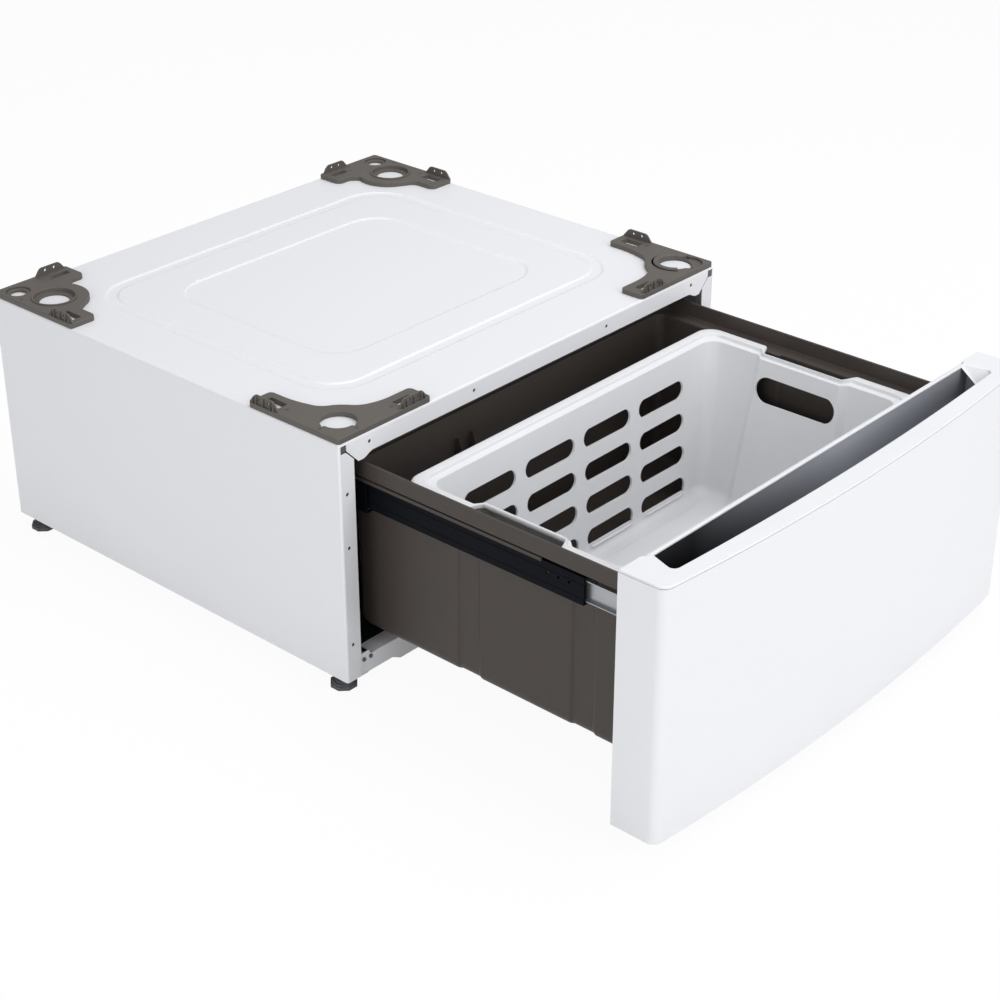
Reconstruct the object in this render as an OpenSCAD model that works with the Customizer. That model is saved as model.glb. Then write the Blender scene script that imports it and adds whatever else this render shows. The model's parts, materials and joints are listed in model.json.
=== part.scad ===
// Washer pedestal with a storage drawer and a lift-out laundry basket.
// Shown with the drawer open. X runs across the front, the front faces -Y, Z is up.
// The origin is the centre of the cabinet's footprint on the floor.

/* [Cabinet] */
// Width of the cabinet and of the drawer front
cabinet_w = 686; // [680:1:700]
// Depth of the cabinet without the drawer front
cabinet_d = 622; // [610:1:640]
// Height of the deck above the floor
deck_z = 332; // [332:1:340]
// Gap between the floor and the side panels
floor_gap = 20; // [18:1:22]
// Thickness of the cabinet's sheet steel
sheet = 1.2; // [1:0.1:1.2]
// Height of the flange over the drawer opening
top_flange_h = 24; // [20:1:26]
// Width of the flanges beside the drawer opening
side_flange_w = 23; // [18:1:24]
// Bend radius of the cabinet's outer edges
bend_r = 3; // [2:0.5:4]

/* [Deck emboss] */
// Width of the embossed frame on the deck
frame_w = 530; // [500:5:536]
// Depth of the embossed frame
frame_d = 451; // [420:1:456]
// Width of the frame's raised band
frame_band = 20; // [12:1:26]
// Width of the sunk field inside the frame
field_w = 380; // [300:5:420]
// Depth of the sunk field
field_d = 309; // [250:1:330]
// How far the frame and the field are pressed down
emboss_h = 1.6; // [0.8:0.1:2]

/* [Drawer] */
// How far the drawer stands open
drawer_open = 392; // [300:1:392]
// Half width of the tub's rim
rim_x = 301; // [298:1:304]
// Half width of the tub below its rim
tub_x = 284; // [282:1:284]
// Length of the tub from the panel to its rear wall
tub_len = 441; // [430:1:445]
// Top of the tub's rim above the floor
rim_z = 294; // [290:1:296]
// Height of the band under the tub's rim
rim_band = 23; // [20:1:24]
// Underside of the tub above the floor
tub_bottom_z = 62; // [58:1:70]
// Wall thickness of the tub
tub_wall = 3; // [2.5:0.5:3]

/* [Drawer front] */
// Height of the drawer front's lower edge above the floor
front_bottom_z = 17; // [15:1:20]
// Gap between the deck's level and the top of the drawer front
front_drop = 1.5; // [1:0.5:3]
// Thickness of the drawer front at its sides
front_side_t = 60; // [56:1:62]
// How far the face bows out in the middle
front_bow = 17; // [10:1:20]
// Radius of the face's side edges
front_corner_r = 12; // [8:1:14]
// Thickness of the drawer front's skin
skin = 1.5; // [1.2:0.1:2]
// Half width of the handle pocket's mouth
pocket_x = 308; // [280:1:312]
// Depth of the handle pocket
pocket_depth = 48; // [35:1:55]

/* [Basket] */
// Half width of the basket's rim
basket_x = 283; // [270:1:286]
// Half depth of the basket's rim
basket_y = 162; // [150:1:164]
// Distance from the panel's rear face to the basket's middle
basket_back = 193; // [190:1:197]
// Half width inside the basket's mouth
mouth_x = 262; // [255:1:264]
// Half depth inside the basket's mouth
mouth_y = 140; // [135:1:142]
// How much each end wall leans in from mouth to floor
basket_lean_x = 30; // [15:1:34]
// How much each long wall leans in from mouth to floor
basket_lean_y = 14; // [6:1:18]
// Wall thickness of the basket
basket_wall = 2.5; // [2:0.5:3]
// Length of a vent slot
slot_len = 90; // [70:1:94]
// Height of a vent slot
slot_h = 25; // [18:1:27]
// Spacing of the vent slots along the wall
slot_pitch_x = 107; // [100:1:110]
// Spacing of the rows of vent slots
slot_pitch_z = 45; // [40:0.2:46]
// Length of a handle hole
grip_len = 118; // [100:1:120]
// Height of a handle hole
grip_h = 34; // [28:1:36]

/* [Slides] */
// Height of the slides' centre line above the floor
slide_z = 247; // [246:1:248]
// Length of the cabinet member
outer_len = 430; // [410:1:440]
// Length of the intermediate member
middle_len = 370; // [350:1:375]
// Length of the drawer member
inner_len = 420; // [400:1:425]
// Part of the drawer's travel that the intermediate member makes
middle_ratio = 0.93; // [0.93:0.01:0.94]

/* [Corner brackets] */
// Thickness of the brackets' plate
plate_t = 9; // [7:0.5:10]
// Height of the ribbed tabs above the plate
tab_h = 9; // [6:0.5:10]
// Radius of the front cups that take the washer's feet
front_cup_r = 21; // [19:0.5:24]
// Radius of the rear cups that take the washer's feet
foot_cup_r = 28.5; // [26:0.5:29]

/* [Levelling feet] */
// Distance of a foot's axis from the cabinet's side
foot_in_x = 18; // [17:1:24]
// Distance of a foot's axis from the cabinet's front or rear
foot_in_y = 26; // [22:1:30]
// Radius over the corners of the octagonal pad
pad_r = 17; // [14:0.5:17]
// Radius of the threaded stud
stud_r = 5; // [4:0.5:5]

/* [Hidden] */

hx = cabinet_w / 2;
hy = cabinet_d / 2;
near = 0.01;
corner_cut_x = 12;
corner_cut_z = 14;
mitre_gap = 0.8;
skin_gap = 0.05;
inner_x = hx - bend_r - 0.2;
closed_gap = 1;
panel_y = -hy - closed_gap - drawer_open;
frame_y = 2;
frame_r = 62;
field_r = 52;
flange_hole_r = 2.4;
flange_hole_drop = 12;
flange_hole_x = [-295, -122, 122, 295];
side_hole_z = [deck_z - 65, deck_z - 134, deck_z - 263];
side_hole_in = 11;
rear_screw_in = 12;
rear_press = [480, 180];
rear_press_r = 30;
rear_press_d = 4;

rail_top_z = 43;
rail_tab_z = 49;
rail_low_z = 13;
rail_end_z = 27;
rail_depth = 24;
rail_flat_x = 254;
rail_bend_x = 281;
rail_tab_x = 306;
rail_lip_x = 300;
pan_z = floor_gap + sheet;

front_top_z = deck_z - front_drop;
cap_t = 3;
front_y = panel_y - front_side_t;
bow_r = ((hx - front_corner_r) ^ 2 + front_bow ^ 2) / (2 * front_bow);
bow_yc = front_y - front_bow + bow_r;
pocket_rear_y = panel_y - 8;
pocket_end_d = 34;
pocket_bow = 10;
pocket_wall = 2;
pocket_ramp = 22;
plate_x = hx - 14.3;

tub_rear_y = panel_y + tub_len;
ledge_z = rim_z - rim_band + tub_wall;
tub_edge_r = 10;
tub_heel_r = 30;
groove_d = 2.5;
groove_w = 36;
grooves_y = [panel_y + 256, panel_y + 90];
fins_x = [-113, -88];
fin_half_t = 1.5;

basket_yc = panel_y + basket_back;
basket_top_z = ledge_z + 5;
basket_floor_z = tub_bottom_z + tub_wall + 6;
lip_t = 5;
slot_shift = -4;
slot_top_z = deck_z - 105;
grip_z = deck_z - 96;
grip_in = 6;
notch_half = 66;
notch_in = 16;

slide_back = 6;
outer_y = -hy + slide_back;
support_back = 30;
middle_y = panel_y + 84;
middle_hole_in = 20;
middle_hole_pitch = 15;
inner_y = panel_y + 3;
outer_h = 42;
middle_h = 34;
inner_h = 26;
outer_web_x = tub_x + 12.7;
slide_t = 1.2;
outer_cage_len = 120;
inner_cage_len = 190;
ball_r = 1.1;
slide_screw_r = 2;
outer_screw_y = [40, 210, 380];
inner_screw_y = [30, 200, 390];

bracket_in = 1;
bracket_bevel = 2;
front_cup = [36, 36.5];
shallow = 1.5;
rear_cup = [41, 72];
rear_spare_cup = [22, 23];
rear_cup_d = 5;
front_tab = [123, 123];
rear_tab = [86, 133];
slot_across = [26, 11];
slot_along = [14, 28];
lug_u = 3;
lug_v = 3.4;
lug_w = 8.4;
lug_d = 4;
screw_r = 2.1;
screw_hole_r = 2.2;
front_screw_at = [[7.5, 36.5], [36.5, 7.5], [100, 16], [16, 98]];
rear_screw_at = [[8, 48], [64, 10], [74, 24], [16, 108]];
rear_screw_z = [60, 176, 292];
rail_screw_x = [304, 315];
rail_screw_z = 40;
panel_screw_x = [-258, -90, 90, 258];
panel_screw_z = [90, 262];
stud_top = 46;
pad_h = 9;
foot_clear = 0.08;

foot_x = hx - foot_in_x;
foot_y = hy - foot_in_y;

$fn = 48;

// Shared outlines

module rounded(w, d, r) {
    square([w - 2 * r, d], center = true);
    square([w, d - 2 * r], center = true);
    for (x = [-1, 1], y = [-1, 1])
        translate([x * (w / 2 - r), y * (d / 2 - r)]) circle(r);
}

module stadium(len, h) {
    square([len - h, h], center = true);
    for (x = [-1, 1]) translate([x * (len - h) / 2, 0]) circle(h / 2);
}

module along_x(x0, x1) {
    translate([x0, 0, 0]) rotate([90, 0, 90]) linear_extrude(x1 - x0) children();
}

module along_y(y0, y1) {
    translate([0, y1, 0]) rotate([90, 0, 0]) linear_extrude(y1 - y0) children();
}

module block(x0, x1, y0, y1, z0, z1) {
    translate([x0, y0, z0]) cube([x1 - x0, y1 - y0, z1 - z0]);
}

module sided(side) {
    if (side < 0) mirror([1, 0, 0]) children();
    else children();
}

module corner(sx, sy) {
    scale_x = sx < 0 ? 1 : 0;
    scale_y = sy < 0 ? 1 : 0;
    mirror([scale_x, 0, 0]) mirror([0, scale_y, 0]) children();
}

// Cabinet

module deck_block(inset) {
    r = bend_r - inset;
    block_h = 120;
    intersection() {
        along_y(-hy + inset, hy - inset)
            translate([0, deck_z - block_h / 2])
                rounded(2 * (hx - inset), block_h - 2 * inset, r);
        along_x(-hx + inset, hx - inset)
            translate([0, deck_z - block_h / 2])
                rounded(2 * (hy - inset), block_h - 2 * inset, r);
    }
}

module deck_emboss(inset, z0, h) {
    translate([0, frame_y, z0]) linear_extrude(h) {
        difference() {
            rounded(frame_w - 2 * inset, frame_d - 2 * inset, frame_r - inset);
            rounded(frame_w - 2 * frame_band + 2 * inset,
                    frame_d - 2 * frame_band + 2 * inset, frame_r - frame_band + inset);
        }
        rounded(field_w - 2 * inset, field_d - 2 * inset, field_r - inset);
    }
}

module top_panel() {
    seam_z = deck_z - bend_r;
    flange_z = deck_z - top_flange_h;
    mitre_x = hx - corner_cut_x;
    color("white") difference() {
        union() {
            difference() {
                deck_block(0);
                deck_block(sheet);
                block(-hx - 1, hx + 1, -hy - 1, hy + 1, 0, flange_z);
                for (s = [-1, 1])
                    sided(s) block(mitre_x, hx + 1, -hy - 1, hy + 1, 0, seam_z);
                for (s = [-1, 1])
                    sided(s) along_y(-hy - 1, hy + 1)
                        polygon([[mitre_x, flange_z + corner_cut_x], [mitre_x - corner_cut_x, flange_z],
                                 [mitre_x - corner_cut_x, flange_z - 1], [hx, flange_z - 1],
                                 [hx, flange_z + corner_cut_x]]);
            }
            deck_emboss(-sheet, deck_z - sheet - emboss_h, sheet / 2 + emboss_h);
        }
        deck_emboss(0, deck_z - emboss_h, emboss_h + 1);
        for (x = flange_hole_x)
            translate([x, -hy + 5, deck_z - flange_hole_drop]) rotate([90, 0, 0])
                cylinder(r = flange_hole_r, h = 10);
        for (s = [-1, 1])
            bracket_corner(s, -1) {
                for (p = front_screw_at) hole(p[0], p[1], screw_hole_r, deck_z - 10);
                translate([lug_u - 0.2, lug_v - 0.2, deck_z - 5]) cube([lug_w + 0.4, lug_d + 0.4, 10]);
            }
        for (s = [-1, 1], p = rear_screw_at)
            bracket_corner(s, 1) hole(p[0], p[1], screw_hole_r, deck_z - 10);
    }
}

module side_panel(side) {
    seam_z = deck_z - bend_r;
    flange_z = deck_z - top_flange_h;
    mitre_x = hx - corner_cut_x + mitre_gap;
    lip_w = 34;
    color("white") sided(side) difference() {
        union() {
            translate([0, 0, floor_gap]) linear_extrude(seam_z - floor_gap) difference() {
                rounded(2 * hx, 2 * hy, bend_r);
                rounded(2 * (hx - sheet), 2 * (hy - sheet), bend_r - sheet);
                translate([-hx - 1, -hy - 1]) square([2 * hx + 1 - side_flange_w, 2 * hy + 2]);
            }
            translate([0, 0, floor_gap]) linear_extrude(sheet) intersection() {
                rounded(2 * hx, 2 * hy, bend_r);
                translate([hx - lip_w, -hy]) square([lip_w, 2 * hy]);
            }
        }
        // The flanges end in a mitre below the deck's own flange
        for (y = [-hy - 1, hy - 5])
            along_y(y, y + 6)
                polygon([[hx - 40, flange_z - mitre_gap], [mitre_x - corner_cut_x, flange_z - mitre_gap],
                         [mitre_x, flange_z + corner_cut_x - mitre_gap],
                         [hx - bend_r, flange_z + corner_cut_x - mitre_gap],
                         [hx - bend_r, deck_z + 1], [hx - 40, deck_z + 1]]);
        for (z = side_hole_z)
            translate([hx - side_hole_in, -hy + 5, z]) rotate([90, 0, 0])
                cylinder(r = flange_hole_r, h = 10);
        for (z = rear_screw_z)
            translate([hx - rear_screw_in, hy + 5, z]) rotate([90, 0, 0]) cylinder(r = screw_hole_r, h = 10);
        for (y = [-foot_y, foot_y])
            translate([foot_x, y, floor_gap - 5]) cylinder(r = stud_r + 0.6, h = 20);
    }
}

module rear_panel() {
    y1 = hy - sheet - skin_gap;
    mid_z = deck_z / 2 + 20;
    color("gainsboro") difference() {
        union() {
            block(-inner_x, inner_x, y1 - sheet, y1, rail_tab_z + 1, deck_z - bend_r - 0.5);
            along_y(y1 - sheet - rear_press_d, y1 - sheet / 2)
                translate([0, mid_z]) rounded(rear_press[0], rear_press[1], rear_press_r);
        }
        along_y(y1 - rear_press_d, y1 + 1) translate([0, mid_z])
            rounded(rear_press[0] - 2 * sheet, rear_press[1] - 2 * sheet, rear_press_r - sheet);
        for (x = [-1, 1], z = rear_screw_z)
            translate([x * (hx - rear_screw_in), y1 + 1, z]) rotate([90, 0, 0]) cylinder(r = screw_hole_r, h = 8);
    }
}

module rail_outline() {
    half = [[0, rail_low_z], [rail_flat_x, rail_low_z], [rail_bend_x, rail_end_z], [inner_x, rail_end_z],
            [inner_x, rail_tab_z], [rail_tab_x, rail_tab_z], [rail_tab_x - 3, rail_top_z], [0, rail_top_z]];
    for (s = [-1, 1]) polygon([for (p = half) [s * p[0], p[1]]]);
}

module base_rail(sy) {
    web_y = hy - sheet - skin_gap;
    color("white") corner(1, sy) difference() {
        union() {
            along_y(web_y - sheet, web_y) rail_outline();
            block(-rail_lip_x, rail_lip_x, hy - rail_depth, web_y - sheet / 2, rail_top_z - sheet, rail_top_z);
            block(-rail_flat_x, rail_flat_x, hy - rail_depth, web_y - sheet / 2, rail_low_z, rail_low_z + sheet);
        }
        for (s = [-1, 1], x = rail_screw_x)
            translate([s * x, hy + 1, rail_screw_z]) rotate([90, 0, 0]) cylinder(r = screw_hole_r, h = 8);
    }
}

// Lies on the side panels' lips, with its flanges against the rails
module base_pan() {
    pan_y = hy - 2 * sheet - 2 * skin_gap;
    half_w = 305;
    wing_x = 318;
    wing_y = 250;
    flange_x = 290;
    flange_h = 14;
    color([0.13, 0.15, 0.18]) difference() {
        union() {
            block(-half_w, half_w, -pan_y, pan_y, pan_z, pan_z + sheet);
            block(-wing_x, wing_x, -wing_y, wing_y, pan_z, pan_z + sheet);
            for (s = [-1, 1])
                corner(1, s) block(-flange_x, flange_x, pan_y - sheet, pan_y, pan_z, pan_z + flange_h);
        }
        translate([0, 0, pan_z - 1]) linear_extrude(5)
            for (x = [-180, 0, 180]) translate([x, 0]) rotate(90) stadium(140, 22);
    }
}

// A channel on the side panel that carries the slide's cabinet member
module slide_support(side) {
    web_x = outer_web_x + skin_gap;
    half_h = 18;
    metal = 1.5;
    y0 = outer_y + support_back;
    y1 = outer_y + outer_len + 20;
    color("silver") sided(side) difference() {
        block(web_x, hx - sheet - skin_gap, y0, y1, slide_z - half_h, slide_z + half_h);
        block(web_x + metal, hx, y0 - 1, y1 + 1, slide_z - half_h + metal, slide_z + half_h - metal);
        for (y = outer_screw_y)
            translate([web_x - 1, outer_y + y, slide_z]) rotate([0, 90, 0])
                cylinder(r = slide_screw_r + 0.1, h = 4);
    }
}

// Corner brackets, drawn in the corner's own axes: u along X and v along Y, inwards

module front_plate_outline(d) {
    polygon([[d, d + 3], [d + 3, d], [151 - d, d], [151 - d, 37 - d - 5], [146 - d, 37 - d],
             [104 - d, 37 - d], [79 - d, 46 - d], [66 - d, 66 - d], [47 - d, 78 - d],
             [38 - d, 113 - d], [38 - d, 143 - d], [33 - d, 148 - d], [d + 3, 148 - d], [d, 145 - d]]);
    intersection() {
        translate(front_cup) circle(42 - d);
        translate([d, d]) square(100);
    }
}

module rear_plate_outline(d) {
    polygon([[d, d + 3], [d + 3, d], [112 - d, d], [115 - d, d + 3], [115 - d, 37 - d],
             [110 - d, 42 - d], [92 - d, 42 - d], [84 - d, 52 - d], [80 - d, 92 - d], [56 - d, 112 - d],
             [42 - d, 122 - d], [42 - d, 152 - d], [37 - d, 157 - d], [d + 3, 157 - d], [d, 154 - d]]);
    intersection() {
        translate([rear_cup[0], rear_cup[1] - 2]) circle(46 - d);
        translate([d, d]) square(140);
    }
}

module ribbed_tab() {
    half_w = 24;
    translate([0, 0, deck_z + plate_t - near]) {
        rotate([90, 0, 0]) difference() {
            translate([0, 0, -4.7]) linear_extrude(2.4)
                polygon([[-half_w, 0], [-half_w + 9, tab_h], [half_w - 9, tab_h], [half_w, 0]]);
            for (x = [-7, 7]) translate([x, tab_h / 2, -6]) cylinder(r = 1.8, h = 8);
        }
        for (x = [-14, 0, 14]) translate([x - 0.8, 0, 0]) cube([1.6, 2.4, tab_h - 1.5]);
    }
}

module tab_on_u(u) {
    translate([u, 1.6, 0]) ribbed_tab();
}

module tab_on_v(v) {
    mirror([1, -1, 0]) tab_on_u(v);
}

module plate(front) {
    // A smaller top layer leaves the edge stepped where the real one is bevelled
    translate([0, 0, deck_z]) {
        linear_extrude(plate_t - bracket_bevel) {
            if (front) front_plate_outline(bracket_in);
            else rear_plate_outline(bracket_in);
        }
        linear_extrude(plate_t) {
            if (front) front_plate_outline(bracket_in + bracket_bevel / 2);
            else rear_plate_outline(bracket_in + bracket_bevel / 2);
        }
    }
}

module slot_cut(u, v, size) {
    translate([u - size[0] / 2, v - size[1] / 2, deck_z - 1]) cube([size[0], size[1], plate_t + 2]);
}

module hole(u, v, r, z0) {
    translate([u, v, z0]) cylinder(r = r, h = 40);
}

module bracket_corner(sx, sy) {
    corner(sx, sy) translate([hx, hy, 0]) mirror([1, 0, 0]) mirror([0, 1, 0]) children();
}

module front_bracket(sx, recess) {
    color([0.42, 0.4, 0.38]) bracket_corner(sx, -1) {
        difference() {
            plate(true);
            hole(front_cup[0], front_cup[1], front_cup_r, deck_z - 1);
            hole(front_cup[0], front_cup[1], front_cup_r + 2, deck_z + plate_t - shallow);
            // One bracket has a second shallow seat beside its cup
            if (recess) hole(25, 25, 21, deck_z + plate_t - shallow);
            slot_cut(front_tab[0], 18.5, slot_across);
            slot_cut(19, front_tab[1], slot_along);
            for (p = front_screw_at) hole(p[0], p[1], screw_hole_r, deck_z - 1);
        }
        tab_on_u(front_tab[0]);
        tab_on_v(front_tab[1]);
        // The lug locks through the deck into the notch of the cabinet's corner
        translate([lug_u, lug_v, deck_z - 5]) cube([lug_w, lug_d, 6]);
        translate([lug_u, 0.6, deck_z - corner_cut_z + 2.5])
            cube([lug_w, lug_v + lug_d - 0.6, corner_cut_z - 2.5 - bend_r - 0.2]);
    }
}

module rear_bracket(sx) {
    color([0.42, 0.4, 0.38]) bracket_corner(sx, 1) {
        difference() {
            plate(false);
            hole(rear_cup[0], rear_cup[1], foot_cup_r, deck_z + plate_t - rear_cup_d);
            hole(rear_cup[0], rear_cup[1], 17, deck_z - 1);
            hole(rear_spare_cup[0], rear_spare_cup[1], 18, deck_z + plate_t - rear_cup_d);
            hole(rear_spare_cup[0], rear_spare_cup[1], 10.5, deck_z - 1);
            slot_cut(rear_tab[0] + 6, 18, slot_across);
            slot_cut(18, rear_tab[1], slot_along);
            for (p = rear_screw_at) hole(p[0], p[1], screw_hole_r, deck_z - 1);
        }
        tab_on_u(rear_tab[0]);
        tab_on_v(rear_tab[1]);
    }
}

module pan_screw(length, head_r) {
    cylinder(r = head_r, h = 1.6);
    translate([0, 0, -length]) cylinder(r = screw_r, h = length + near);
}

module bracket_screws() {
    length = plate_t + 5;
    color("slategray")
    for (s = [-1, 1]) {
        bracket_corner(s, -1)
            for (p = front_screw_at) translate([p[0], p[1], deck_z + plate_t]) pan_screw(length, 3.4);
        bracket_corner(s, 1)
            for (p = rear_screw_at) translate([p[0], p[1], deck_z + plate_t]) pan_screw(length, 3.4);
    }
}

module cabinet_screws() {
    color("silver") {
        for (s = [-1, 1], z = rear_screw_z)
            translate([s * (hx - rear_screw_in), hy, z]) rotate([-90, 0, 0]) pan_screw(6, 4);
        for (s = [-1, 1], x = rail_screw_x, f = [-1, 1])
            translate([s * x, f * (hy - sheet - skin_gap), rail_screw_z]) rotate([-90 * f, 0, 0])
                pan_screw(5, 2.6);
    }
}

module foot_mount(sx, sy) {
    z0 = floor_gap + sheet;
    x0 = hx - 36;
    metal = 3;
    color("silver") corner(sx, sy) difference() {
        union() {
            block(x0, hx - sheet - 0.3, hy - 54, hy - 2 * sheet - 0.1, z0, z0 + metal);
            block(x0, x0 + metal, hy - 54, hy - 2 * sheet - 0.1, z0, z0 + 22);
            translate([foot_x, foot_y, z0]) cylinder(r = 9, h = 10);
        }
        translate([foot_x, foot_y, floor_gap]) cylinder(r = stud_r + foot_clear, h = 40);
    }
}

module lock_nuts() {
    nut_h = 6.5;
    color("silver")
    for (sx = [-1, 1], sy = [-1, 1])
        translate([sx * foot_x, sy * foot_y, floor_gap - skin_gap - nut_h]) difference() {
            cylinder(r = 9, h = nut_h, $fn = 6);
            translate([0, 0, -1]) cylinder(r = stud_r + foot_clear, h = nut_h + 2);
        }
}

module pad(sx, sy) {
    color("dimgray") translate([sx * foot_x, sy * foot_y, 0]) difference() {
        union() {
            rotate(22.5) cylinder(r = pad_r, h = 5, $fn = 8);
            cylinder(r = pad_r - 2.4, h = 7);
            cylinder(r = 10.5, h = pad_h);
        }
        translate([0, 0, 3]) cylinder(r = stud_r + 0.05, h = 20);
    }
}

module stud(sx, sy) {
    color("silver") translate([sx * foot_x, sy * foot_y, 3]) {
        cylinder(r = stud_r, h = stud_top - 4);
        translate([0, 0, stud_top - 4 - near]) cylinder(r1 = stud_r, r2 = stud_r - 1, h = 1);
        translate([0, 0, 6.2]) cylinder(r = 6.4, h = 3, $fn = 6);
    }
}

// Telescopic slides, drawn on the +X side

module outer_profile() {
    h = outer_h / 2;
    difference() {
        translate([outer_web_x - 10.2, -h]) square([10.2, outer_h]);
        translate([outer_web_x - 11, -h + slide_t]) square([11 - slide_t, outer_h - 2 * slide_t]);
    }
    for (s = [-1, 1])
        translate([outer_web_x - 10.2, s > 0 ? h - 2 : -h]) square([slide_t, 2]);
}

module middle_profile() {
    h = middle_h / 2;
    web = outer_web_x - 4.5;
    difference() {
        translate([tub_x + 1.6, -h]) square([web - tub_x - 1.6, middle_h]);
        translate([tub_x, -h + slide_t]) square([web - slide_t - tub_x, middle_h - 2 * slide_t]);
        // Two drawn lines on the outside of the web
        for (z = [-9, 8]) translate([web - 0.4, z - 0.5]) square([1, 1.5]);
    }
}

module inner_profile() {
    h = inner_h / 2;
    difference() {
        translate([tub_x + 0.02, -h]) square([5.4, inner_h]);
        translate([tub_x + 0.02 + slide_t, -h + slide_t]) square([6, inner_h - 2 * slide_t]);
    }
}

module slide_outer(side) {
    color([0.1, 0.11, 0.13]) sided(side) difference() {
        along_y(outer_y, outer_y + outer_len) translate([0, slide_z]) outer_profile();
        for (y = outer_screw_y)
            translate([outer_web_x - 4, outer_y + y, slide_z]) rotate([0, 90, 0])
                cylinder(r = slide_screw_r + 0.1, h = 6);
    }
}

module slide_middle(side) {
    web = outer_web_x - 4.5;
    color([0.08, 0.09, 0.11]) sided(side) difference() {
        along_y(middle_y, middle_y + middle_len) translate([0, slide_z]) middle_profile();
        for (k = [0:2])
            translate([web - 4, middle_y + middle_hole_in + middle_hole_pitch * k, slide_z + 4]) rotate([0, 90, 0])
                cylinder(r = 1.8, h = 6);
    }
}

module slide_inner(side) {
    color("silver") sided(side) difference() {
        along_y(inner_y, inner_y + inner_len) translate([0, slide_z]) inner_profile();
        for (y = inner_screw_y)
            translate([tub_x - 1, inner_y + y, slide_z]) rotate([0, 90, 0])
                cylinder(r = slide_screw_r + 0.1, h = 4);
    }
}

module slide_outer_screws() {
    color("silver")
    for (s = [-1, 1], y = outer_screw_y)
        sided(s) translate([outer_web_x - slide_t, outer_y + y, slide_z]) rotate([0, -90, 0]) {
            cylinder(r = 3.6, h = 0.7);
            translate([0, 0, -6]) cylinder(r = slide_screw_r, h = 6 + near);
        }
}

module slide_inner_screws() {
    color("silver")
    for (s = [-1, 1], y = inner_screw_y)
        sided(s) translate([tub_x + slide_t + 0.02, inner_y + y, slide_z]) rotate([0, 90, 0]) {
            cylinder(r = 3.6, h = 1.4);
            translate([0, 0, -7]) cylinder(r = slide_screw_r, h = 7 + near);
        }
}

// Each cage is a thin channel that carries the balls above and below
module cage(side, y0, len, z_in, z_out, x0, web_x, web_t, balls_x) {
    pitch = 32;
    color("goldenrod") sided(side) {
        along_y(y0, y0 + len) translate([0, slide_z]) {
            for (s = [-1, 1])
                translate([x0, s > 0 ? z_in : -z_out]) square([web_x - x0 + web_t, z_out - z_in]);
            translate([web_x, -z_out]) square([web_t, 2 * z_out]);
        }
        for (s = [-1, 1], y = [12:pitch:len - 8])
            translate([balls_x, y0 + y, slide_z + s * (z_in + z_out) / 2]) sphere(ball_r, $fn = 16);
    }
}

module cage_outer(side) {
    cage(side, outer_y + 3, outer_cage_len, middle_h / 2 + 0.6, outer_h / 2 - slide_t - 0.6, tub_x + 4.4,
         outer_web_x - 3.4, 1, tub_x + 7);
}

module cage_inner(side) {
    y_mid = (middle_y + inner_y + middle_len - inner_cage_len) / 2;
    cage(side, y_mid, inner_cage_len, inner_h / 2 + 0.6, middle_h / 2 - slide_t - 0.6, tub_x + 2.6,
         outer_web_x - 6.8, 0.6, tub_x + 4);
}

// Drawer

module tub_plan(inset, half_w, y0, y1, r) {
    difference() {
        translate([0, (y0 + y1) / 2]) rounded(2 * (half_w - inset), y1 - y0 - 2 * inset, r);
        for (s = [-1, 1], y = grooves_y)
            translate([s * (half_w - inset), y]) square([2 * groove_d, groove_w], center = true);
    }
}

module tub_body(inset) {
    top = inset > 0 ? rim_z + 1 : ledge_z;
    z0 = tub_bottom_z + inset;
    y0 = panel_y + inset;
    y1 = tub_rear_y - 6 - inset;
    heel = tub_heel_r - inset;
    tall = 400;
    intersection() {
        translate([0, 0, z0]) linear_extrude(top - z0)
            tub_plan(inset, tub_x, panel_y, tub_rear_y - 6, tub_edge_r + 4 - inset);
        along_x(-hx, hx) {
            translate([y0, z0]) square([y1 - heel - y0, tall]);
            translate([y0, z0 + heel]) square([y1 - y0, tall]);
            translate([y1 - heel, z0 + heel]) circle(heel);
        }
        along_y(panel_y - 1, tub_rear_y)
            translate([0, z0 + tall / 2]) rounded(2 * (tub_x - inset), tall, tub_edge_r - inset);
    }
}

module rear_fins() {
    for (x = fins_x)
        block(x - fin_half_t, x + fin_half_t, tub_rear_y - 18, tub_rear_y - 8, deck_z - 122, deck_z - 92);
}

module drawer_tub() {
    rim_r = 14;
    band_z = rim_z - rim_band;
    color([0.26, 0.25, 0.23]) difference() {
        union() {
            tub_body(0);
            translate([0, (panel_y + tub_rear_y) / 2, band_z]) linear_extrude(rim_band)
                rounded(2 * rim_x, tub_len, rim_r);
            for (s = [-1, 1])
                sided(s) block(rim_x - tub_wall, rim_x, panel_y + 136, tub_rear_y - 14, band_z - 3, band_z + 1);
            rear_fins();
        }
        difference() {
            tub_body(tub_wall);
            rear_fins();
        }
        translate([0, (panel_y + tub_rear_y) / 2, ledge_z]) linear_extrude(rim_band)
            rounded(2 * (rim_x - tub_wall), tub_len - 2 * tub_wall, rim_r - tub_wall);
        for (s = [-1, 1], y = inner_screw_y)
            sided(s) translate([tub_x - 6, inner_y + y, slide_z]) rotate([0, 90, 0])
                cylinder(r = slide_screw_r + 0.1, h = 8);
        for (x = panel_screw_x, z = panel_screw_z)
            translate([x, panel_y + 5, z]) rotate([90, 0, 0]) cylinder(r = slide_screw_r + 0.1, h = 8);
    }
}

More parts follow.
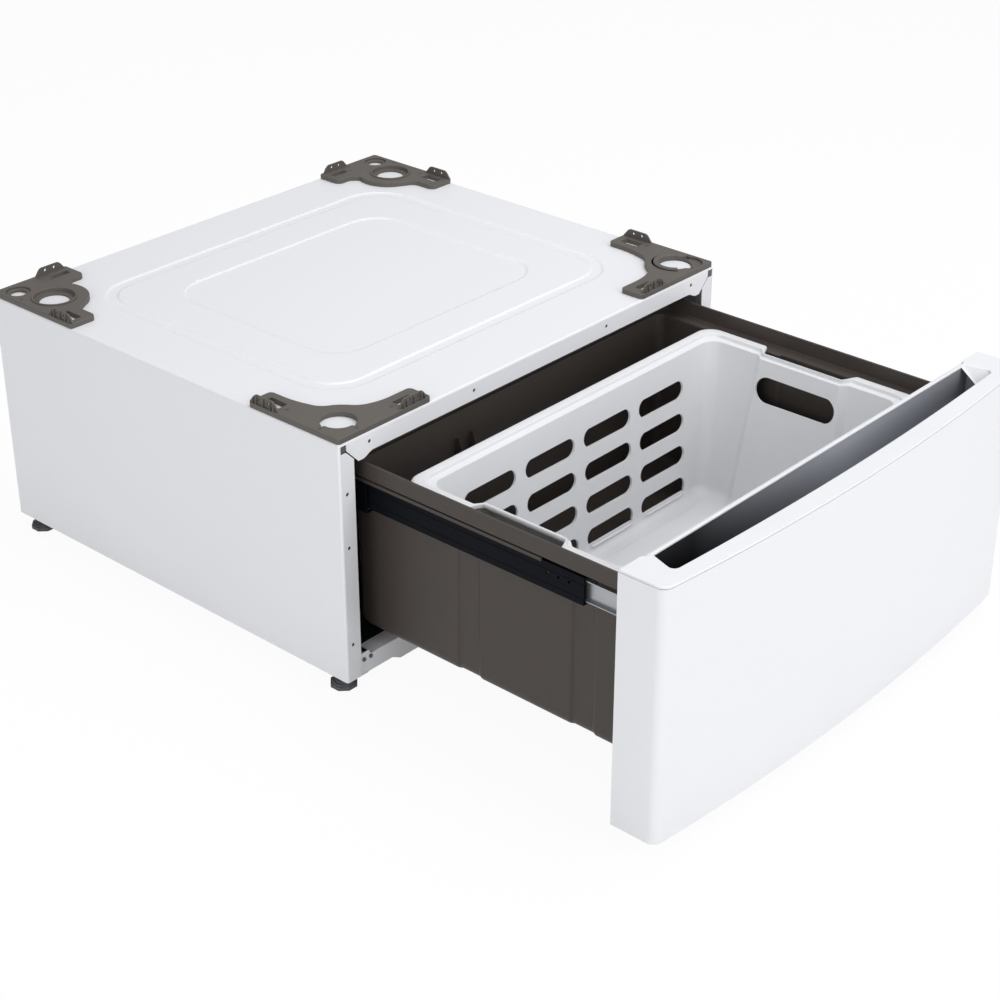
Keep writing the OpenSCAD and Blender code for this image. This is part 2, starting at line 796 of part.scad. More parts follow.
module panel_outline(inset) {
    r = front_corner_r - inset;
    big = bow_r - inset;
    cx = hx - front_corner_r;
    cy = bow_yc - sqrt((bow_r - front_corner_r) ^ 2 - cx ^ 2);
    tangent = cx * big / (big - r);
    intersection() {
        translate([0, bow_yc]) circle(big, $fn = 720);
        translate([-tangent, front_y - 60]) square([2 * tangent, panel_y - inset - front_y + 60]);
    }
    for (s = [-1, 1]) translate([s * cx, cy]) circle(r);
    translate([-hx + inset, cy]) square([2 * (hx - inset), panel_y - inset - cy]);
}

module front_panel() {
    z0 = front_bottom_z + cap_t;
    z1 = front_top_z - cap_t;
    color("white") translate([0, 0, z0]) linear_extrude(z1 - z0) difference() {
        panel_outline(0);
        panel_outline(skin);
        translate([-plate_x - 0.3, panel_y - 4]) square([2 * plate_x + 0.6, 10]);
    }
}

module pocket_outline(inset) {
    w = pocket_x - inset;
    sag_r = (w ^ 2 + pocket_bow ^ 2) / (2 * pocket_bow);
    y1 = pocket_rear_y - inset;
    y0 = pocket_rear_y - pocket_end_d + inset;
    intersection() {
        translate([0, y0 - pocket_bow + sag_r]) circle(sag_r, $fn = 720);
        translate([-w, y0 - pocket_bow - 1]) square([2 * w, y1 - y0 + pocket_bow + 1]);
    }
    translate([-w, y0]) square([2 * w, y1 - y0]);
}

module cap_skirt(z0, h) {
    translate([0, 0, z0]) linear_extrude(h) difference() {
        panel_outline(skin + 0.15);
        panel_outline(skin + 2.1);
        translate([-plate_x - 0.3, panel_y - 8]) square([2 * plate_x + 0.6, 10]);
    }
}

module top_cap() {
    z0 = front_top_z - cap_t;
    skirt_h = 5;
    step_x = 305;
    ramp_z = front_top_z - 30;
    color("white") {
        difference() {
            union() {
                translate([0, 0, z0]) linear_extrude(cap_t) panel_outline(0);
                cap_skirt(z0 - skirt_h, skirt_h + near);
            }
            translate([0, 0, z0 - skirt_h - 1]) linear_extrude(skirt_h + cap_t + 2) pocket_outline(0);
            translate([0, 0, z0 - skirt_h - 1]) linear_extrude(skirt_h + 1) pocket_outline(-pocket_wall - 0.4);
            block(-step_x, step_x, panel_y - 4, panel_y + 1, z0 - 1, front_top_z + 1);
        }
        // Sloping ends of the pocket
        for (s = [-1, 1])
            sided(s) intersection() {
                along_y(-hy * 4, 0)
                    polygon([[pocket_x + 0.5, front_top_z], [pocket_x - pocket_ramp, ramp_z],
                             [pocket_x - pocket_ramp, ramp_z - 2], [pocket_x + 0.5, z0]]);
                union() {
                    translate([0, 0, ramp_z - 3]) linear_extrude(z0 - ramp_z + 3 + near) pocket_outline(0.2);
                    translate([0, 0, z0]) linear_extrude(cap_t) pocket_outline(-0.5);
                }
            }
    }
}

module bottom_cap() {
    color("white") {
        translate([0, 0, front_bottom_z]) linear_extrude(cap_t) panel_outline(0);
        cap_skirt(front_bottom_z + cap_t - near, 6);
    }
}

module handle_pocket() {
    z1 = front_top_z - cap_t - 0.02;
    z0 = front_top_z - pocket_depth;
    color([0.12, 0.12, 0.13]) difference() {
        translate([0, 0, z0]) linear_extrude(z1 - z0) pocket_outline(-pocket_wall);
        translate([0, 0, z0 + pocket_wall]) linear_extrude(z1 - z0) pocket_outline(0);
    }
}

module back_plate() {
    z0 = front_bottom_z + cap_t + 0.2;
    z1 = front_top_z - cap_t - 0.1;
    y1 = panel_y - 0.02;
    fold = 5.7;
    color("gainsboro") difference() {
        union() {
            block(-plate_x, plate_x, y1 - sheet, y1, z0, z1);
            block(-plate_x, plate_x, y1 - fold, y1, z1 - sheet, z1);
            for (s = [-1, 1])
                sided(s) block(plate_x - sheet, plate_x, y1 - fold, y1, z0 + 8, z1);
        }
        for (x = panel_screw_x, z = panel_screw_z)
            translate([x, panel_y + 5, z]) rotate([90, 0, 0]) cylinder(r = slide_screw_r + 0.1, h = 14);
    }
}

module panel_screws() {
    color("silver")
    for (x = panel_screw_x, z = panel_screw_z)
        translate([x, panel_y + tub_wall, z]) rotate([-90, 0, 0]) {
            cylinder(r = 4, h = 1.8);
            translate([0, 0, -10]) cylinder(r = slide_screw_r, h = 10 + near);
        }
}

module bumpers() {
    color([0.2, 0.2, 0.2])
    for (s = [-1, 1], z = [front_bottom_z + 21, front_top_z - 14])
        translate([s * (hx - 8), panel_y + near, z]) rotate([-90, 0, 0]) cylinder(r = 4, h = 0.6);
}

// Basket

module basket_hull(inset, z0, z1) {
    depth = basket_top_z - basket_floor_z;
    function lean(z) = (basket_top_z - z) / depth;
    hull() {
        for (z = [z0, z1])
            translate([0, basket_yc, z]) linear_extrude(near)
                rounded(2 * (mouth_x + inset - basket_lean_x * lean(z)),
                        2 * (mouth_y + inset - basket_lean_y * lean(z)), 20 + inset, $fn = 32);
    }
}

module grip_block(out, z0, z1, grow) {
    depth = basket_top_z - basket_floor_z;
    top_half = notch_half + grow;
    low_half = notch_half + grow + 12;
    xt = mouth_x - grip_in + out;
    xb = mouth_x - grip_in - basket_lean_x + out;
    hull() {
        translate([xb, basket_yc - low_half, z0]) cube([60, 2 * low_half, near]);
        translate([xt, basket_yc - top_half, z1]) cube([60, 2 * top_half, near]);
    }
}

module basket() {
    rim_low = basket_top_z - lip_t;
    rim_t = 2.5;
    rim_r = 26;
    step_in = 20;
    color("whitesmoke") difference() {
        union() {
            basket_hull(basket_wall, basket_floor_z - basket_wall, basket_top_z - 1);
            translate([0, basket_yc, rim_low]) linear_extrude(lip_t)
                rounded(2 * basket_x, 2 * basket_y, rim_r);
        }
        difference() {
            basket_hull(0, basket_floor_z, basket_top_z + near);
            for (s = [-1, 1])
                sided(s) grip_block(0, basket_floor_z - 1, basket_top_z + 1, 0);
            translate([0, basket_yc, basket_floor_z - 1]) linear_extrude(3)
                rounded(2 * (mouth_x - basket_lean_x - step_in), 2 * (mouth_y - basket_lean_y - step_in), 12);
        }
        for (s = [-1, 1])
            sided(s) grip_block(basket_wall, basket_floor_z - 10, rim_low, -basket_wall);
        for (s = [-1, 1])
            translate([s * basket_x, basket_yc, rim_low - 1]) linear_extrude(lip_t + 2)
                rounded(2 * notch_in, 2 * notch_half, 8);
        // The rim is hollow below, between the wall and its lip
        translate([0, basket_yc, rim_low - near]) linear_extrude(lip_t - rim_t) difference() {
            rounded(2 * (basket_x - rim_t), 2 * (basket_y - rim_t), rim_r - rim_t);
            rounded(2 * (mouth_x + 6), 2 * (mouth_y + 6), 22);
            for (s = [-1, 1])
                translate([s * (basket_x + 20), 0])
                    square([2 * (notch_in + 23), 2 * notch_half + 6], center = true);
        }
        for (k = [-1.5:1.5], row = [0:3])
            translate([slot_shift + k * slot_pitch_x, basket_yc, slot_top_z - row * slot_pitch_z])
                rotate([90, 0, 0]) linear_extrude(400, center = true) stadium(slot_len, slot_h);
        translate([0, basket_yc, grip_z]) rotate([90, 0, 90])
            linear_extrude(700, center = true) stadium(grip_len, grip_h);
    }
}

top_panel();
side_panel(-1);  // side_panel_left
side_panel(1);  // side_panel_right
rear_panel();
base_rail(-1);  // front_rail
base_rail(1);  // rear_rail
base_pan();
slide_support(-1);  // slide_support_left
slide_support(1);  // slide_support_right
front_bracket(-1, false);  // bracket_front_left
front_bracket(1, true);  // bracket_front_right
rear_bracket(-1);  // bracket_rear_left
rear_bracket(1);  // bracket_rear_right
bracket_screws();
cabinet_screws();
foot_mount(-1, -1);  // foot_mount_front_left
foot_mount(1, -1);  // foot_mount_front_right
foot_mount(-1, 1);  // foot_mount_rear_left
foot_mount(1, 1);  // foot_mount_rear_right
lock_nuts();
slide_outer(-1);  // slide_outer_left
slide_outer(1);  // slide_outer_right
slide_outer_screws();
slide_middle(-1);  // slide_middle_left
slide_middle(1);  // slide_middle_right
cage_outer(-1);  // cage_outer_left
cage_outer(1);  // cage_outer_right
cage_inner(-1);  // cage_inner_left
cage_inner(1);  // cage_inner_right
slide_inner(-1);  // slide_inner_left
slide_inner(1);  // slide_inner_right
slide_inner_screws();
drawer_tub();
back_plate();
front_panel();
top_cap();
bottom_cap();
handle_pocket();
panel_screws();
bumpers();
basket();
pad(-1, -1);  // pad_front_left
pad(1, -1);  // pad_front_right
pad(-1, 1);  // pad_rear_left
pad(1, 1);  // pad_rear_right
stud(-1, -1);  // stud_front_left
stud(1, -1);  // stud_front_right
stud(-1, 1);  // stud_rear_left
stud(1, 1);  // stud_rear_right
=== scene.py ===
import json
import math

import bmesh
import bpy
from mathutils import Matrix, Vector


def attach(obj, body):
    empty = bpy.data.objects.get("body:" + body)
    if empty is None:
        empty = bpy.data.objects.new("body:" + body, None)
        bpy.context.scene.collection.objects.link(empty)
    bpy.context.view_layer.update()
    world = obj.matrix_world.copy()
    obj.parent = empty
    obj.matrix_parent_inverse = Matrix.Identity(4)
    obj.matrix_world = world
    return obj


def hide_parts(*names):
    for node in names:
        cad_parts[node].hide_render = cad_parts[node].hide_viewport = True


bl_info = {
    "name": "Washer Pedestal",
    "version": (1, 0, 0),
    "blender": (4, 5, 0),
    "location": "3D View > Sidebar > Pedestal",
    "description": "Dresses the packed pedestal: deck, corner brackets, basket, drawer, finishes and stage",
    "category": "Object",
}

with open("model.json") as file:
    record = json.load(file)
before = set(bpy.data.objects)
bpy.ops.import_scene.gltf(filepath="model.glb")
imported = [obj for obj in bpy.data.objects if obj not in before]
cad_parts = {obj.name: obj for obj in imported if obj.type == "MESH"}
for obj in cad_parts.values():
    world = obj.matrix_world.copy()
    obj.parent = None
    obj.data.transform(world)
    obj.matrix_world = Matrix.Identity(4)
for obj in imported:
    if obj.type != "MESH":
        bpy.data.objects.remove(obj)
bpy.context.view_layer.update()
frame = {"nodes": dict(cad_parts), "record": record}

MM = 0.001

# In millimetres: half the cabinet's width and depth, the deck's height, the back of the drawer front
HALF_W = 343.0
HALF_D = 311.0
DECK = 332.0
PANEL = -704.0
SHEET = 1.2
CORNERS = (("front_left", -1, -1), ("front_right", 1, -1), ("rear_left", -1, 1), ("rear_right", 1, 1))

# Colours of the small parts
PAN_GREY = (0.030, 0.036, 0.045)
SCREW_GREY = (0.07, 0.088, 0.125)
BRASS = (0.55, 0.42, 0.16)
LINER_BLACK = (0.035, 0.036, 0.040)
BUMPER_BLACK = (0.03, 0.03, 0.03)
FOOT_GREY = (0.085, 0.087, 0.092)
STUD_GREY = (0.55, 0.56, 0.58)


# Sizes and colours

def length(name, default, description):
    return bpy.props.FloatProperty(name=name, description=description + ", in mm", default=default, min=0.0)


def colour(name, default, description):
    return bpy.props.FloatVectorProperty(name=name, description=description, default=default, size=3,
                                         min=0.0, max=1.0, subtype="COLOR")


def power(name, default, description):
    return bpy.props.FloatProperty(name=name, description=description, default=default, min=0.0,
                                   unit="POWER")


class PedestalSizes(bpy.types.PropertyGroup):
    emboss: length("Emboss height", 1.6, "How far the band and the field of the deck are pressed down")
    slope: length("Emboss slope", 5.0, "Width of the pressed slopes beside the band")
    bend: length("Bend radius", 3.0, "Outer radius of the deck's folded edges")
    bracket_plate: length("Bracket plate", 6.4, "Thickness of the brackets' plates")
    bracket_round: length("Bracket rounding", 0.9, "Rounding of the brackets' upper edges")
    basket_wall: length("Basket wall", 3.0, "Thickness of the basket's moulding")
    slot_round: length("Slot rounding", 1.1, "Rounding along the basket's slots and rim")
    tub_wall: length("Tub wall", 3.0, "Thickness of the drawer tub's moulding")
    cap_round: length("Cap rounding", 1.2, "Rounding of the drawer front's upper edges")


class PedestalColours(bpy.types.PropertyGroup):
    cabinet: colour("Cabinet paint", (0.80, 0.81, 0.84), "Powder coat of the cabinet")
    front: colour("Front paint", (0.785, 0.795, 0.82), "Paint and caps of the drawer front")
    basket: colour("Basket", (0.75, 0.76, 0.78), "Moulded plastic of the basket")
    tub: colour("Tub", (0.064, 0.053, 0.047), "Moulded plastic of the drawer tub")
    bracket: colour("Brackets", (0.108, 0.096, 0.086), "Moulded plastic of the corner brackets")
    slide: colour("Slides", (0.006, 0.007, 0.010), "Black coat of the slides' outer members")
    zinc: colour("Zinc", (0.58, 0.60, 0.63), "Plated and galvanised steel")


class PedestalStage(bpy.types.PropertyGroup):
    lens: bpy.props.FloatProperty(name="Lens", description="Focal length of the camera", default=76.26,
                                  min=1.0, subtype="DISTANCE_CAMERA")
    sky: bpy.props.FloatProperty(name="Sky", description="Strength of the even light from all round",
                                 default=0.46, min=0.0)
    top_light: power("Top light", 40.0, "Power of the lamp overhead")
    front_light: power("Front light", 28.0, "Power of the lamp in front")
    left_light: power("Left light", 22.0, "Power of the lamp on the left")


# Shader graphs

class Value:
    """A number on a socket. Its operators add Math nodes."""

    def __init__(self, graph, socket):
        self.graph = graph
        self.socket = socket

    def __add__(self, other):
        return self.graph.math("ADD", self, other)

    def __sub__(self, other):
        return self.graph.math("SUBTRACT", self, other)

    def __mul__(self, other):
        return self.graph.math("MULTIPLY", self, other)

    __radd__ = __add__


class Finish:
    """One material: a Principled shader and the nodes that feed it."""

    def __init__(self, name, **constants):
        self.material = bpy.data.materials.new(name)
        self.material.use_nodes = True
        self.tree = self.material.node_tree
        self.tree.nodes.clear()
        self.shader = self.tree.nodes.new("ShaderNodeBsdfPrincipled")
        self.output = self.tree.nodes.new("ShaderNodeOutputMaterial")
        self.tree.links.new(self.shader.outputs["BSDF"], self.output.inputs["Surface"])
        for socket, number in constants.items():
            self.shader.inputs[socket.replace("_", " ")].default_value = number
        self.place = self.node("ShaderNodeTexCoord").outputs["Object"]

    def feed(self, socket, value):
        """Links a value to a socket, or sets the socket to it."""
        if isinstance(value, Value):
            value = value.socket
        if isinstance(value, bpy.types.NodeSocket):
            self.tree.links.new(value, socket)
        elif isinstance(value, (tuple, list)) and len(value) == 3 and socket.type == "RGBA":
            socket.default_value = (*value, 1.0)
        else:
            socket.default_value = value

    def node(self, kind, settings=None, **inputs):
        made = self.tree.nodes.new(kind)
        for key, setting in (settings or {}).items():
            setattr(made, key, setting)
        for key, value in inputs.items():
            self.feed(made.inputs[key.replace("_", " ")], value)
        return made

    def math(self, operation, a, b=0.0):
        made = self.node("ShaderNodeMath", {"operation": operation})
        self.feed(made.inputs[0], a)
        self.feed(made.inputs[1], b)
        return Value(self, made.outputs[0])

    def noise(self, scale, detail=2.0, rough=0.5, stretch=(1, 1, 1)):
        moved = self.node("ShaderNodeMapping", Vector=self.place, Scale=stretch)
        made = self.node("ShaderNodeTexNoise", Vector=moved.outputs[0], Scale=scale, Detail=detail,
                         Roughness=rough)
        return Value(self, made.outputs["Fac"])

    def cells(self, scale):
        made = self.node("ShaderNodeTexVoronoi", Vector=self.place, Scale=scale)
        return Value(self, made.outputs["Distance"])

    def axis(self, letter):
        made = self.node("ShaderNodeSeparateXYZ", Vector=self.place)
        return Value(self, made.outputs[letter])

    def ramp(self, value, low, high):
        """0 up to the low value, 1 from the high one on."""
        made = self.node("ShaderNodeMapRange", {"clamp": True}, Value=value, From_Min=low, From_Max=high)
        return Value(self, made.outputs["Result"])

    def blend(self, factor, first, second):
        made = self.node("ShaderNodeMix", {"data_type": "RGBA"})
        self.feed(made.inputs["Factor"], factor)
        colours = [socket for socket in made.inputs if socket.type == "RGBA"]
        self.feed(colours[0], first)
        self.feed(colours[1], second)
        return [socket for socket in made.outputs if socket.type == "RGBA"][0]

    def coat(self, base, roughness, height, depth, strength):
        """Base colour, roughness and a bump, whose depth is in metres."""
        self.feed(self.shader.inputs["Base Color"], base)
        self.feed(self.shader.inputs["Roughness"], roughness)
        bump = self.node("ShaderNodeBump", Height=height, Distance=depth, Strength=strength)
        self.feed(self.shader.inputs["Normal"], bump.outputs["Normal"])
        return self.material


def shade(colour, factor):
    return tuple(min(1.0, part * factor) for part in colour)


def powder_coat(name, colour, gloss=0.36):
    """Powder coat: faint orange peel, a little dust and handling marks in the gloss."""
    finish = Finish(name, IOR=1.5)
    peel = finish.noise(420.0)
    cloud = finish.noise(2.2, 3.0, 0.6)
    dust = finish.noise(26.0, 6.0, 0.7)
    base = finish.blend(cloud * 0.5 + dust * 0.25, shade(colour, 1.015), shade(colour, 0.975))
    rough = gloss - 0.05 + cloud * 0.07 + dust * 0.04
    return finish.coat(base, rough, peel, 0.00012, 0.22)


def moulded(name, colour, gloss, grain, depth, streak=0.0, shine=0.5):
    """Moulded plastic: etched grain, soft flow marks, slightly polished high spots."""
    finish = Finish(name, IOR=1.47, Specular_IOR_Level=shine)
    etched = finish.cells(grain) + finish.noise(grain * 1.7)
    flow = finish.noise(5.0, 4.0, 0.62, stretch=(1, 1, 0.25))
    rubbed = finish.noise(60.0, 5.0, 0.65)
    tone = flow * 0.6 + rubbed * 0.4
    if streak:
        tone = tone + finish.noise(48.0, 3.0, stretch=(1, 1, 0.02)) * streak
    base = finish.blend(tone, shade(colour, 1.07), shade(colour, 0.93))
    return finish.coat(base, gloss - 0.06 + rubbed * 0.12, etched, depth, 0.3)


def liner(name, colour):
    """Glossy liner of the pocket with fine swirls from wiping. Painted shade makes it darkest at its left
    end, and a painted reflection lightens it towards the middle and the right.
    """
    finish = Finish(name, IOR=1.47, Specular_IOR_Level=0.15)
    swirl = finish.noise(700.0, 3.0, 0.6, stretch=(0.05, 1, 1))
    smear = finish.noise(9.0, 4.0, 0.6, stretch=(0.4, 1, 1))
    # Painted shade and painted reflection: the colour rises along X from dark at the left end to light grey
    # near the middle, then falls a little towards the right.
    along = finish.ramp(finish.axis("X"), -0.23, 0.05)
    beyond = finish.ramp(finish.axis("X"), 0.02, 0.3)
    tone = along * 0.9 - beyond * 0.35 + smear * 0.06
    base = finish.blend(tone, shade(colour, 0.3), shade(colour, 12.0))
    return finish.coat(base, 0.24 + smear * 0.1, swirl, 0.00002, 0.2)


def galvanised(name, colour):
    """Zinc coated sheet with its spangle."""
    finish = Finish(name, Metallic=0.85)
    spangle = finish.cells(160.0)
    fleck = finish.noise(420.0, 3.0)
    base = finish.blend(spangle * 1.4 + fleck * 0.3, shade(colour, 1.08), shade(colour, 0.82))
    return finish.coat(base, 0.32 + spangle * 0.22 + fleck * 0.08, fleck, 0.00006, 0.25)


def rolled_steel(name, colour, metallic, gloss, lines=900.0, shine=0.5):
    """Rolled strip drawn along Y: fine lines and an oil film."""
    finish = Finish(name, Metallic=metallic, Specular_IOR_Level=shine)
    drawn = finish.noise(lines, 3.0, 0.6, stretch=(1, 0.02, 1))
    film = finish.noise(14.0, 4.0, 0.6, stretch=(1, 0.4, 1))
    base = finish.blend(drawn * 0.5 + film * 0.5, shade(colour, 1.18), shade(colour, 0.82))
    return finish.coat(base, gloss + drawn * 0.12 + film * 0.10, drawn, 0.00005, 0.3)


def threaded(name, colour, pitch=0.0015):
    """Plated rod with a thread round the Z axis."""
    finish = Finish(name, Metallic=0.9)
    turns = finish.math("SINE", finish.axis("Z") * (2 * math.pi / pitch))
    grime = finish.noise(240.0, 4.0, 0.6)
    groove = turns * 0.5 + 0.5
    # Painted shade: the colour darkens in the thread's valleys. It also varies at random with grime.
    base = finish.blend(groove * 0.6 + grime * 0.4, shade(colour, 0.55), shade(colour, 1.05))
    return finish.coat(base, 0.30 + grime * 0.2, groove, 0.0005, 0.8)


def rubber(name, colour):
    """Moulded rubber with a dusty bloom."""
    finish = Finish(name, IOR=1.45)
    bloom = finish.noise(90.0, 5.0, 0.7)
    grit = finish.noise(1500.0)
    base = finish.blend(finish.ramp(bloom, 0.35, 0.75), shade(colour, 0.85), shade(colour, 1.7))
    return finish.coat(base, 0.62 + bloom * 0.2, grit, 0.00012, 0.4)


FINISHES = {}


def make_finishes(colours):
    """Every finish of the object, by material slot of the record."""
    FINISHES.update({
        "cabinet_paint": powder_coat("Cabinet powder coat", tuple(colours.cabinet)),
        "front_paint": powder_coat("Front powder coat", tuple(colours.front), 0.30),
        "cap_plastic": moulded("Cap plastic", tuple(colours.front), 0.30, 1400.0, 0.00004),
        "pan_paint": powder_coat("Base pan paint", PAN_GREY, 0.5),
        "zinc_steel": galvanised("Galvanised steel", tuple(colours.zinc)),
        "bracket_plastic": moulded("Bracket plastic", tuple(colours.bracket), 0.55, 700.0, 0.00012),
        "screw_zinc": rolled_steel("Plated screws", SCREW_GREY, 0.6, 0.34, 1600.0),
        "slide_black": rolled_steel("Black slide steel", tuple(colours.slide), 0.0, 0.42, shine=0.05),
        "slide_steel": rolled_steel("Bright slide steel", shade(colours.zinc, 0.72), 0.9, 0.26),
        "cage_brass": rolled_steel("Cage brass", BRASS, 0.9, 0.30),
        "tub_plastic": moulded("Tub plastic", tuple(colours.tub), 0.48, 800.0, 0.00008, 0.35, 0.3),
        "pocket_gloss": liner("Pocket liner", LINER_BLACK),
        "bumper_rubber": rubber("Bumper rubber", BUMPER_BLACK),
        "basket_plastic": moulded("Basket plastic", tuple(colours.basket), 0.40, 1100.0, 0.00005),
        "foot_rubber": rubber("Foot rubber", FOOT_GREY),
        "stud_steel": threaded("Threaded steel", STUD_GREY),
    })


# Modelling, in millimetres

def verts_of(edges):
    return list({vert for edge in edges for vert in edge.verts})


def new_verts(made):
    """The vertices among what a bmesh operator has made."""
    return [item for item in made["geom"] if isinstance(item, bmesh.types.BMVert)]


def outline(bm, points, radii=0.0, z=0.0, segments=6):
    """A closed loop of edges from a few corner points, each rounded by its radius."""
    before = set(bm.verts)
    corners = [bm.verts.new((x, y, z)) for x, y in points]
    bm.faces.new(corners)
    if not isinstance(radii, (list, tuple)):
        radii = [radii] * len(points)
    for radius in sorted({r for r in radii if r > 0.0}):
        picked = [corner for corner, r in zip(corners, radii) if r == radius]
        bmesh.ops.bevel(bm, geom=picked, offset=radius, offset_type="OFFSET", affect="VERTICES",
                        segments=segments, profile=0.5, material=-1, clamp_overlap=True)
    edges = [edge for edge in bm.edges if edge.verts[0] not in before and edge.verts[1] not in before]
    faces = {face for edge in edges for face in edge.link_faces}
    bmesh.ops.delete(bm, geom=list(faces), context="FACES_ONLY")
    return edges


def box_loop(bm, x0, x1, y0, y1, radius, z=0.0, segments=6):
    return outline(bm, [(x0, y0), (x1, y0), (x1, y1), (x0, y1)], radius, z, segments)


def circle_loop(bm, x, y, radius, z=0.0, segments=40):
    made = bmesh.ops.create_circle(bm, cap_ends=False, radius=radius, segments=segments,
                                   matrix=Matrix.Translation((x, y, z)))
    return list({edge for vert in made["verts"] for edge in vert.link_edges})


def stadium_loop(bm, x, y, width, height, z=0.0, segments=24):
    """A slot's outline: a circle pulled apart along X."""
    verts = bmesh.ops.create_circle(bm, cap_ends=False, radius=height / 2, segments=segments)["verts"]
    for vert in verts:
        vert.co.x += math.copysign((width - height) / 2, vert.co.x + 1e-6)
    bmesh.ops.translate(bm, vec=(x, y, z), verts=verts)
    return list({edge for vert in verts for edge in vert.link_edges})


def arc(centre, radius, start, end, count):
    """Points on a circle from one angle to the other, in degrees."""
    turns = [math.radians(start + (end - start) * k / count) for k in range(count + 1)]
    return [(centre[0] + radius * math.cos(t), centre[1] + radius * math.sin(t)) for t in turns]


def fill(bm, edges, normal=(0, 0, 1)):
    """Fills between an outline and the holes inside it."""
    made = bmesh.ops.triangle_fill(bm, use_beauty=True, edges=edges, normal=normal)
    return [item for item in made["geom"] if isinstance(item, bmesh.types.BMFace)]


def stack(bm, loops):
    """Joins loops of edges, one to the next."""
    for first, second in zip(loops, loops[1:]):
        bmesh.ops.bridge_loops(bm, edges=first + second)


def cap(bm, edges):
    bmesh.ops.contextual_create(bm, geom=edges)


def round_top(bm, faces, radius):
    """Draws flat faces in and up in three steps, which rounds all their borders."""
    for inwards, upwards in ((0.134, 0.5), (0.366, 0.366), (0.5, 0.134)):
        bmesh.ops.inset_region(bm, faces=faces, thickness=inwards * radius, use_boundary=True,
                               use_even_offset=True)
        bmesh.ops.translate(bm, vec=(0, 0, upwards * radius), verts=list({v for f in faces for v in f.verts}))


def slab(bm, edges, height, rounding=0.0, z=0.0, place=None):
    """A plate of some height over loops drawn at z = 0, its upper edges rounded."""
    verts = verts_of(edges)
    before = set(bm.verts).difference(verts)
    faces = fill(bm, edges)
    bmesh.ops.translate(bm, vec=(0, 0, height - rounding), verts=verts)
    made = bmesh.ops.extrude_face_region(bm, geom=faces, use_keep_orig=True)
    bmesh.ops.translate(bm, vec=(0, 0, rounding - height), verts=new_verts(made))
    if rounding:
        round_top(bm, faces, rounding)
    matrix = (place or Matrix()) @ Matrix.Translation((0, 0, z))
    bmesh.ops.transform(bm, matrix=matrix, verts=[vert for vert in bm.verts if vert not in before])


def turned(bm, profile, x, y, steps=48, base=0.0):
    """A ring turned about the vertical through (x, y) from points (radius, height above the base)."""
    verts = [bm.verts.new((x + radius, y, base + up)) for radius, up in profile]
    edges = [bm.edges.new(pair) for pair in zip(verts, verts[1:] + verts[:1])]
    before = set(bm.verts) - set(verts)
    bmesh.ops.spin(bm, geom=verts + edges, cent=(x, y, 0), axis=(0, 0, 1), angle=2 * math.pi,
                   steps=steps, use_merge=True)
    return [vert for vert in bm.verts if vert not in before]


def cut(bm, point, normal):
    """Cuts every face along a plane and takes nothing away."""
    bmesh.ops.bisect_plane(bm, geom=bm.verts[:] + bm.edges[:] + bm.faces[:], dist=1e-4,
                           plane_co=point, plane_no=normal)


def smooth_step(value, low, high):
    """From 0 at the low value to 1 at the high one, without a kink at either end."""
    t = min(1.0, max(0.0, (value - low) / (high - low)))
    return t * t * (3 - 2 * t)


def upright(x, y, z, across=(1, 0, 0)):
    """Stands a plate up. Its X runs along `across`, and it thickens to the right of that, seen from above."""
    along = Vector(across).normalized()
    up = Vector((0, 0, 1))
    return Matrix.Translation((x, y, z)) @ Matrix((along, up, along.cross(up))).transposed().to_4x4()


def add_object(bm, name, material):
    mesh = bpy.data.meshes.new(name)
    bm.to_mesh(mesh)
    bm.free()
    made = bpy.data.objects.new(name, mesh)
    bpy.context.scene.collection.objects.link(made)
    mesh.materials.append(material)
    return made


def finish_piece(bm, name, body, slot, nodes=(), place=None, smooth=0.62, merge=1e-4, shell=False):
    """Turns a bmesh in millimetres into a piece that rides on a body and wears a finish."""
    bmesh.ops.delete(bm, geom=[edge for edge in bm.edges if not edge.link_faces], context="EDGES")
    bmesh.ops.transform(bm, matrix=Matrix.Scale(MM, 4) @ (place or Matrix()), verts=bm.verts[:])
    bmesh.ops.remove_doubles(bm, verts=bm.verts[:], dist=merge * MM)
    bmesh.ops.recalc_face_normals(bm, faces=bm.faces[:])
    if shell and max(bm.faces, key=lambda face: face.calc_area() * abs(face.normal.z)).normal.z < 0.0:
        bmesh.ops.reverse_faces(bm, faces=bm.faces[:])
    for face in bm.faces:
        face.smooth = True
    for edge in bm.edges:
        edge.smooth = len(edge.link_faces) == 2 and edge.calc_face_angle(0.0) < smooth
    piece = add_object(bm, name, FINISHES[slot])
    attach(piece, body)
    if nodes:
        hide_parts(*nodes)
    return piece


def thicken(piece, thickness, bevel=0.0):
    """Gives a shell its wall, away from the side its faces look to, and rounds its cut edges."""
    wall = piece.modifiers.new("Wall", "SOLIDIFY")
    wall.thickness = thickness * MM
    wall.offset = -1.0
    wall.use_quality_normals = True
    if bevel:
        edge = piece.modifiers.new("Edges", "BEVEL")
        edge.width = bevel * MM
        edge.segments = 2
        edge.limit_method = "ANGLE"
        edge.angle_limit = 1.0
        edge.harden_normals = False
    flat_faces(piece)


def flat_faces(piece):
    """Keeps the flat faces flat beside their rounded edges."""
    modifier = piece.modifiers.new("Flat faces", "WEIGHTED_NORMAL")
    modifier.keep_sharp = True
    modifier.weight = 100


def sizes():
    return bpy.context.scene.pedestal_sizes


# Operators, one for each piece or group of like pieces

